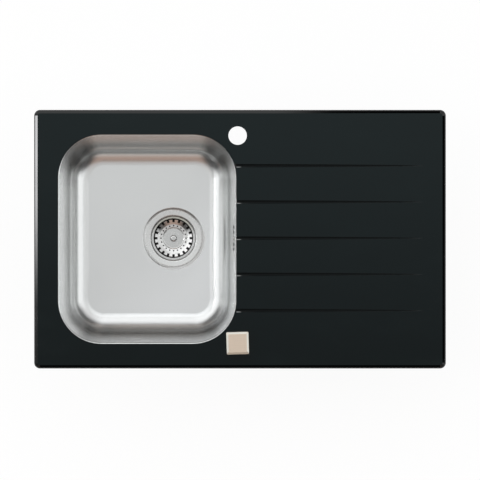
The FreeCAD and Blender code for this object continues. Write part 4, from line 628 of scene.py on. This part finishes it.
start, place = open_finish("flange_and_cup")
lathe = lathe_rings(place, LATHE_PER_METRE)
seat = flange_high.z - SEAT_BELOW_TOP
polish = place.split()[2].smooth(seat, seat + SEAT_FADE)
# The cup's near black is painted shade in the hollow, mottled by noise.
stain_and_shade = noise(place, per_metre=(90, 90, 200), detail=3)
cup_shade = stain_and_shade.blend(DEEP_CUP_SHADE, CUP_SHADE)
close_finish(
    start,
    height=LATHE_MM * lathe,
    Base_Color=polish.blend(cup_shade, FLANGE_STEEL),
    Roughness=0.55 + 0.1 * stain_and_shade - 0.35 * polish + 0.06 * lathe,
    Metallic=1.0,
)

# %% [markdown]
# ## Satin champagne
#
# The knob is a solid block with a warm satin plating. Its brush lines run to and fro along one
# side of the square. The bevels round its face are painted pale as a painted highlight. The front
# bevel is a matt copy of the plating instead, and its colour is painted light. The normals are read
# in the knob's own space, so the bevels keep their looks when the knob turns.

# %% Satin champagne
PLATING_DARK = (0.765, 0.635, 0.52)
PLATING_LIGHT = (0.885, 0.74, 0.61)
BEVEL_HIGHLIGHT = (0.82, 0.79, 0.72)
FRONT_BEVEL_LIGHT = (0.7, 0.59, 0.475)

start, place = open_finish("satin_champagne")
facing = start.node("TexCoord", out="Normal").split()
lines = noise(place, per_metre=(45, 1500, 45), detail=3)
wear_and_shade = noise(place, per_metre=(60, 60, 60), detail=3)
# The pale bevels are a painted highlight. The matt front bevel's colour is painted light, set to
# the tone that bevel shows.
bevel = facing[2].within(0.85, 0.95, 0.02)
matt_front_bevel = bevel * (0 - facing[1]).smooth(0.15, 0.3)
plating = lines.blend(PLATING_DARK, PLATING_LIGHT)
plating = bevel.blend(plating, BEVEL_HIGHLIGHT)
close_finish(
    start,
    height=0.004 * lines,
    Base_Color=matt_front_bevel.blend(plating, FRONT_BEVEL_LIGHT),
    Roughness=0.33 + 0.06 * wear_and_shade + 0.05 * lines + 0.15 * matt_front_bevel,
    Metallic=1 - matt_front_bevel,
)

# %% [markdown]
# ## Zinc plate
#
# Rails, clips, ferrules, hose clips and small screws are mild steel with a zinc plating: grey, in
# soft patches with a cast of blue or of yellow, and duller than stainless steel. Scattered cells
# give the bump of its crystals.

# %% Zinc plate
BLUE_ZINC = (0.50, 0.51, 0.52)
YELLOW_ZINC = (0.60, 0.60, 0.57)

start, place = open_finish("zinc_steel")
flakes = cells(place, per_metre=420)
patches = noise(place, per_metre=(50, 50, 50), detail=4)
close_finish(
    start,
    height=0.01 * flakes,
    Base_Color=patches.smooth(0.35, 0.65).blend(BLUE_ZINC, YELLOW_ZINC),
    Roughness=0.34 + 0.12 * patches + 0.08 * flakes,
    Metallic=1.0,
)

# %% [markdown]
# ## Brass
#
# The lift pin, the lever's shaft, the spindle, its bush and its nut are turned brass, dulled a
# little in patches where hands and water have been. Noise that is squeezed along the height makes
# the fine lathe rings of the upright pieces.

# %% Brass
BRIGHT_BRASS = (0.74, 0.56, 0.27)
DULL_BRASS = (0.56, 0.41, 0.2)

start, place = open_finish("pin_brass")
turned = noise(place, per_metre=(40, 40, 1400))
dulled = noise(place, per_metre=(90, 90, 90), detail=3).smooth(0.45, 0.7)
close_finish(
    start,
    height=0.004 * turned,
    Base_Color=dulled.blend(BRIGHT_BRASS, DULL_BRASS),
    Roughness=0.24 + 0.1 * dulled + 0.05 * turned,
    Metallic=1.0,
)

# %% [markdown]
# ## Wire
#
# The pull wire is a strand of thin steel wires. At its size the lay of the strand is a fine slant,
# so a banded wave on slanting coordinates is enough, and no single wire has to be modelled.

# %% Wire
STRAND_SCALE = 450.0
DARK_WIRE = (0.44, 0.44, 0.44)
LIGHT_WIRE = (0.6, 0.6, 0.59)

start, place = open_finish("wire_steel")
lay = {"wave_type": "BANDS", "bands_direction": "DIAGONAL"}
strand = start.node("TexWave", lay, {"Vector": place, "Scale": STRAND_SCALE, "Distortion": 0.0})
stain_and_shade = noise(place, per_metre=(200, 200, 200))
close_finish(
    start,
    height=0.08 * strand,
    Base_Color=stain_and_shade.blend(DARK_WIRE, LIGHT_WIRE),
    Roughness=0.3 + 0.15 * stain_and_shade,
    Metallic=1.0,
)

# %% [markdown]
# ## Moulded plastics
#
# The waste body is black, the lever and the cable housing are white, the hose is pale grey and the
# cable's sheath is black. All come from moulds or dies: an even colour with faint flow clouds, a
# fine spark grain, and a roughness that wanders. One function makes the four, each with its own
# colours and grain.

# %% Moulded plastics
PLASTIC_IOR = 1.49


def moulded(name, dark, light, roughness, grain_per_metre, grain_mm):
    """A plastic between two colours; its grain has a size and a height."""
    start, place = open_finish(name)
    flow = noise(place, per_metre=(28, 28, 28), detail=3)
    grain = noise(place, per_metre=(grain_per_metre,) * 3)
    close_finish(
        start,
        height=grain_mm * grain,
        Base_Color=flow.smooth(0.3, 0.7).blend(dark, light),
        Roughness=roughness + 0.12 * flow + 0.06 * grain,
        IOR=PLASTIC_IOR,
    )


moulded("waste_plastic", dark=(0.018, 0.018, 0.019), light=(0.028, 0.028, 0.029),
        roughness=0.34, grain_per_metre=1500, grain_mm=0.03)
moulded("lever_plastic", dark=(0.72, 0.72, 0.70), light=(0.80, 0.80, 0.785),
        roughness=0.32, grain_per_metre=1800, grain_mm=0.015)
moulded("hose_plastic", dark=(0.50, 0.51, 0.52), light=(0.60, 0.61, 0.615),
        roughness=0.36, grain_per_metre=900, grain_mm=0.02)
moulded("sheath_plastic", dark=(0.020, 0.020, 0.022), light=(0.034, 0.034, 0.036),
        roughness=0.42, grain_per_metre=1300, grain_mm=0.02)

# %% [markdown]
# ## Rubber, foam and sealant
#
# Seals are matt black rubber. The pad under the bowl is a heavy dark grey sheet with a crumbly
# face. The strip under the glass is closed-cell foam, and the bead that bonds the bowl is black
# sealant with a slow waviness. They differ in colours, roughness and the size of their pattern, so
# one function makes these four too, with cells for the foam and noise for the others.

# %% Rubber, foam and sealant
def rubbery(name, dark, light, roughness, pattern_per_metre, depth_mm, celled=False):
    """A soft finish between two colours; its pattern is noise, or cells."""
    start, place = open_finish(name)
    mottle = noise(place, per_metre=(70, 70, 70), detail=3)
    if celled:
        pattern = cells(place, pattern_per_metre)
    else:
        pattern = noise(place, per_metre=(pattern_per_metre,) * 3, detail=3)
    close_finish(
        start,
        height=depth_mm * pattern,
        Base_Color=mottle.smooth(0.3, 0.7).blend(dark, light),
        Roughness=roughness + 0.1 * mottle + 0.06 * pattern,
    )


rubbery("seal_rubber", dark=(0.016, 0.016, 0.016), light=(0.028, 0.028, 0.027),
        roughness=0.62, pattern_per_metre=1100, depth_mm=0.03)
rubbery("pad_rubber", dark=(0.045, 0.045, 0.046), light=(0.085, 0.084, 0.082),
        roughness=0.74, pattern_per_metre=500, depth_mm=0.2)
rubbery("foam_rubber", dark=(0.022, 0.022, 0.023), light=(0.036, 0.036, 0.037),
        roughness=0.8, pattern_per_metre=900, depth_mm=0.15, celled=True)
rubbery("bond_sealant", dark=(0.016, 0.016, 0.017), light=(0.024, 0.024, 0.025),
        roughness=0.34, pattern_per_metre=120, depth_mm=0.2)

# %% [markdown]
# ## Dress the solids
#
# The solids already have the right shapes, so each keeps its mesh and only takes the finish of its
# slot. The flange alone takes a finish of its own, because its cup is not polished.

# %% Dress the solids
for solid in nodes.values():
    for slot in solid.material_slots:
        slot.material = finishes[slot.material.name]
nodes["waste_flange"].material_slots[0].material = finishes["flange_and_cup"]
print(f"{len(nodes)} solids dressed in {len(finishes)} finishes")

# %% [markdown]
# ## Screw threads
#
# The outlet takes a trap and the studs take wing nuts, so both are threaded. A bump would leave
# their outlines smooth, so the ridges are real: one small triangle, spun round the axis and lifted
# a little at each step. Its measures are parts of the thread's pitch.

# %% Wind a thread
HALF_RIDGE = 0.44
ROOT_DEPTH = 0.12
CREST_HEIGHT = 0.22


def thread(name, slot, axes, spans, radius, pitch, steps):
    """Ridges round the first upright axis, over each span of heights, copied to the other axes."""
    wound = bmesh.new()
    half = pitch * HALF_RIDGE
    root = radius - pitch * ROOT_DEPTH
    crest = radius + pitch * CREST_HEIGHT
    first_x, first_y = axes[0]
    for low, high in spans:
        turns = (high - low) / pitch
        corners = [(root, low - half), (crest, low), (root, low + half)]
        section = [wound.verts.new((first_x + r, first_y, z)) for r, z in corners]
        triangle = wound.faces.new(section)
        bmesh.ops.spin(
            wound,
            geom=[triangle, *triangle.edges, *triangle.verts],
            cent=(first_x, first_y, low),
            axis=(0, 0, 1),
            dvec=(0, 0, pitch / steps),
            angle=math.tau * turns,
            steps=round(steps * turns),
        )
    bmesh.ops.holes_fill(wound, edges=wound.edges, sides=0)
    bmesh.ops.recalc_face_normals(wound, faces=wound.faces)
    ridge = [*wound.verts, *wound.edges, *wound.faces]
    for x, y in axes[1:]:
        copied = bmesh.ops.duplicate(wound, geom=ridge)["geom"]
        points = [part for part in copied if isinstance(part, bmesh.types.BMVert)]
        bmesh.ops.translate(wound, verts=points, vec=(x - first_x, y - first_y, 0))
    mesh = bpy.data.meshes.new(name)
    wound.to_mesh(mesh)
    wound.free()
    piece = bpy.data.objects.new(name, mesh)
    scene.collection.objects.link(piece)
    mesh.materials.append(finishes[slot])
    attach(piece, "sink")
    print(f"{name}: {len(mesh.polygons)} faces")


print("threads can be wound")

# %% [markdown]
# The outlet has a coarse pipe thread with 11 turns to the inch. It stops short of both ends of the
# tail, as a moulded thread does.

# %% Thread the outlet
OUTLET_RADIUS = 0.0239
OUTLET_PITCH = 0.002309
OUTLET_STEPS = 48

tail_low, tail_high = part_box("outlet_tail")
outlet_span = (tail_low.z + OUTLET_PITCH, tail_high.z - 2 * OUTLET_PITCH)
outlet_axis = (waste_axis.x, waste_axis.y)
thread("outlet_thread", "waste_plastic", [outlet_axis], [outlet_span],
       OUTLET_RADIUS, OUTLET_PITCH, OUTLET_STEPS)

# %% [markdown]
# The studs are 5 mm screws. Their thread shows above the claws and below the nuts, and the axes of
# the claws' joints say where the studs stand.

# %% Thread the studs
STUD_RADIUS = 0.0025
STUD_PITCH = 0.0008
STUD_STEPS = 16
STUD_TAIL = 0.004
CLAW_SHEET = 0.002
END_MARGIN = 0.0005

stud_low, stud_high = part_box("clip_studs")
claw_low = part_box("clip_claw_1")[0]
above_claw = (claw_low.z + CLAW_SHEET + END_MARGIN, stud_high.z - STUD_TAIL)
below_nut = (stud_low.z + END_MARGIN, stud_low.z + STUD_TAIL - END_MARGIN)
claw_joints = [joint for joint in frame["joints"] if joint["name"].startswith("claw_")]
stud_axes = [joint["pos_m"][:2] for joint in claw_joints]
thread("stud_threads", "zinc_steel", stud_axes, [below_nut, above_claw],
       STUD_RADIUS, STUD_PITCH, STUD_STEPS)
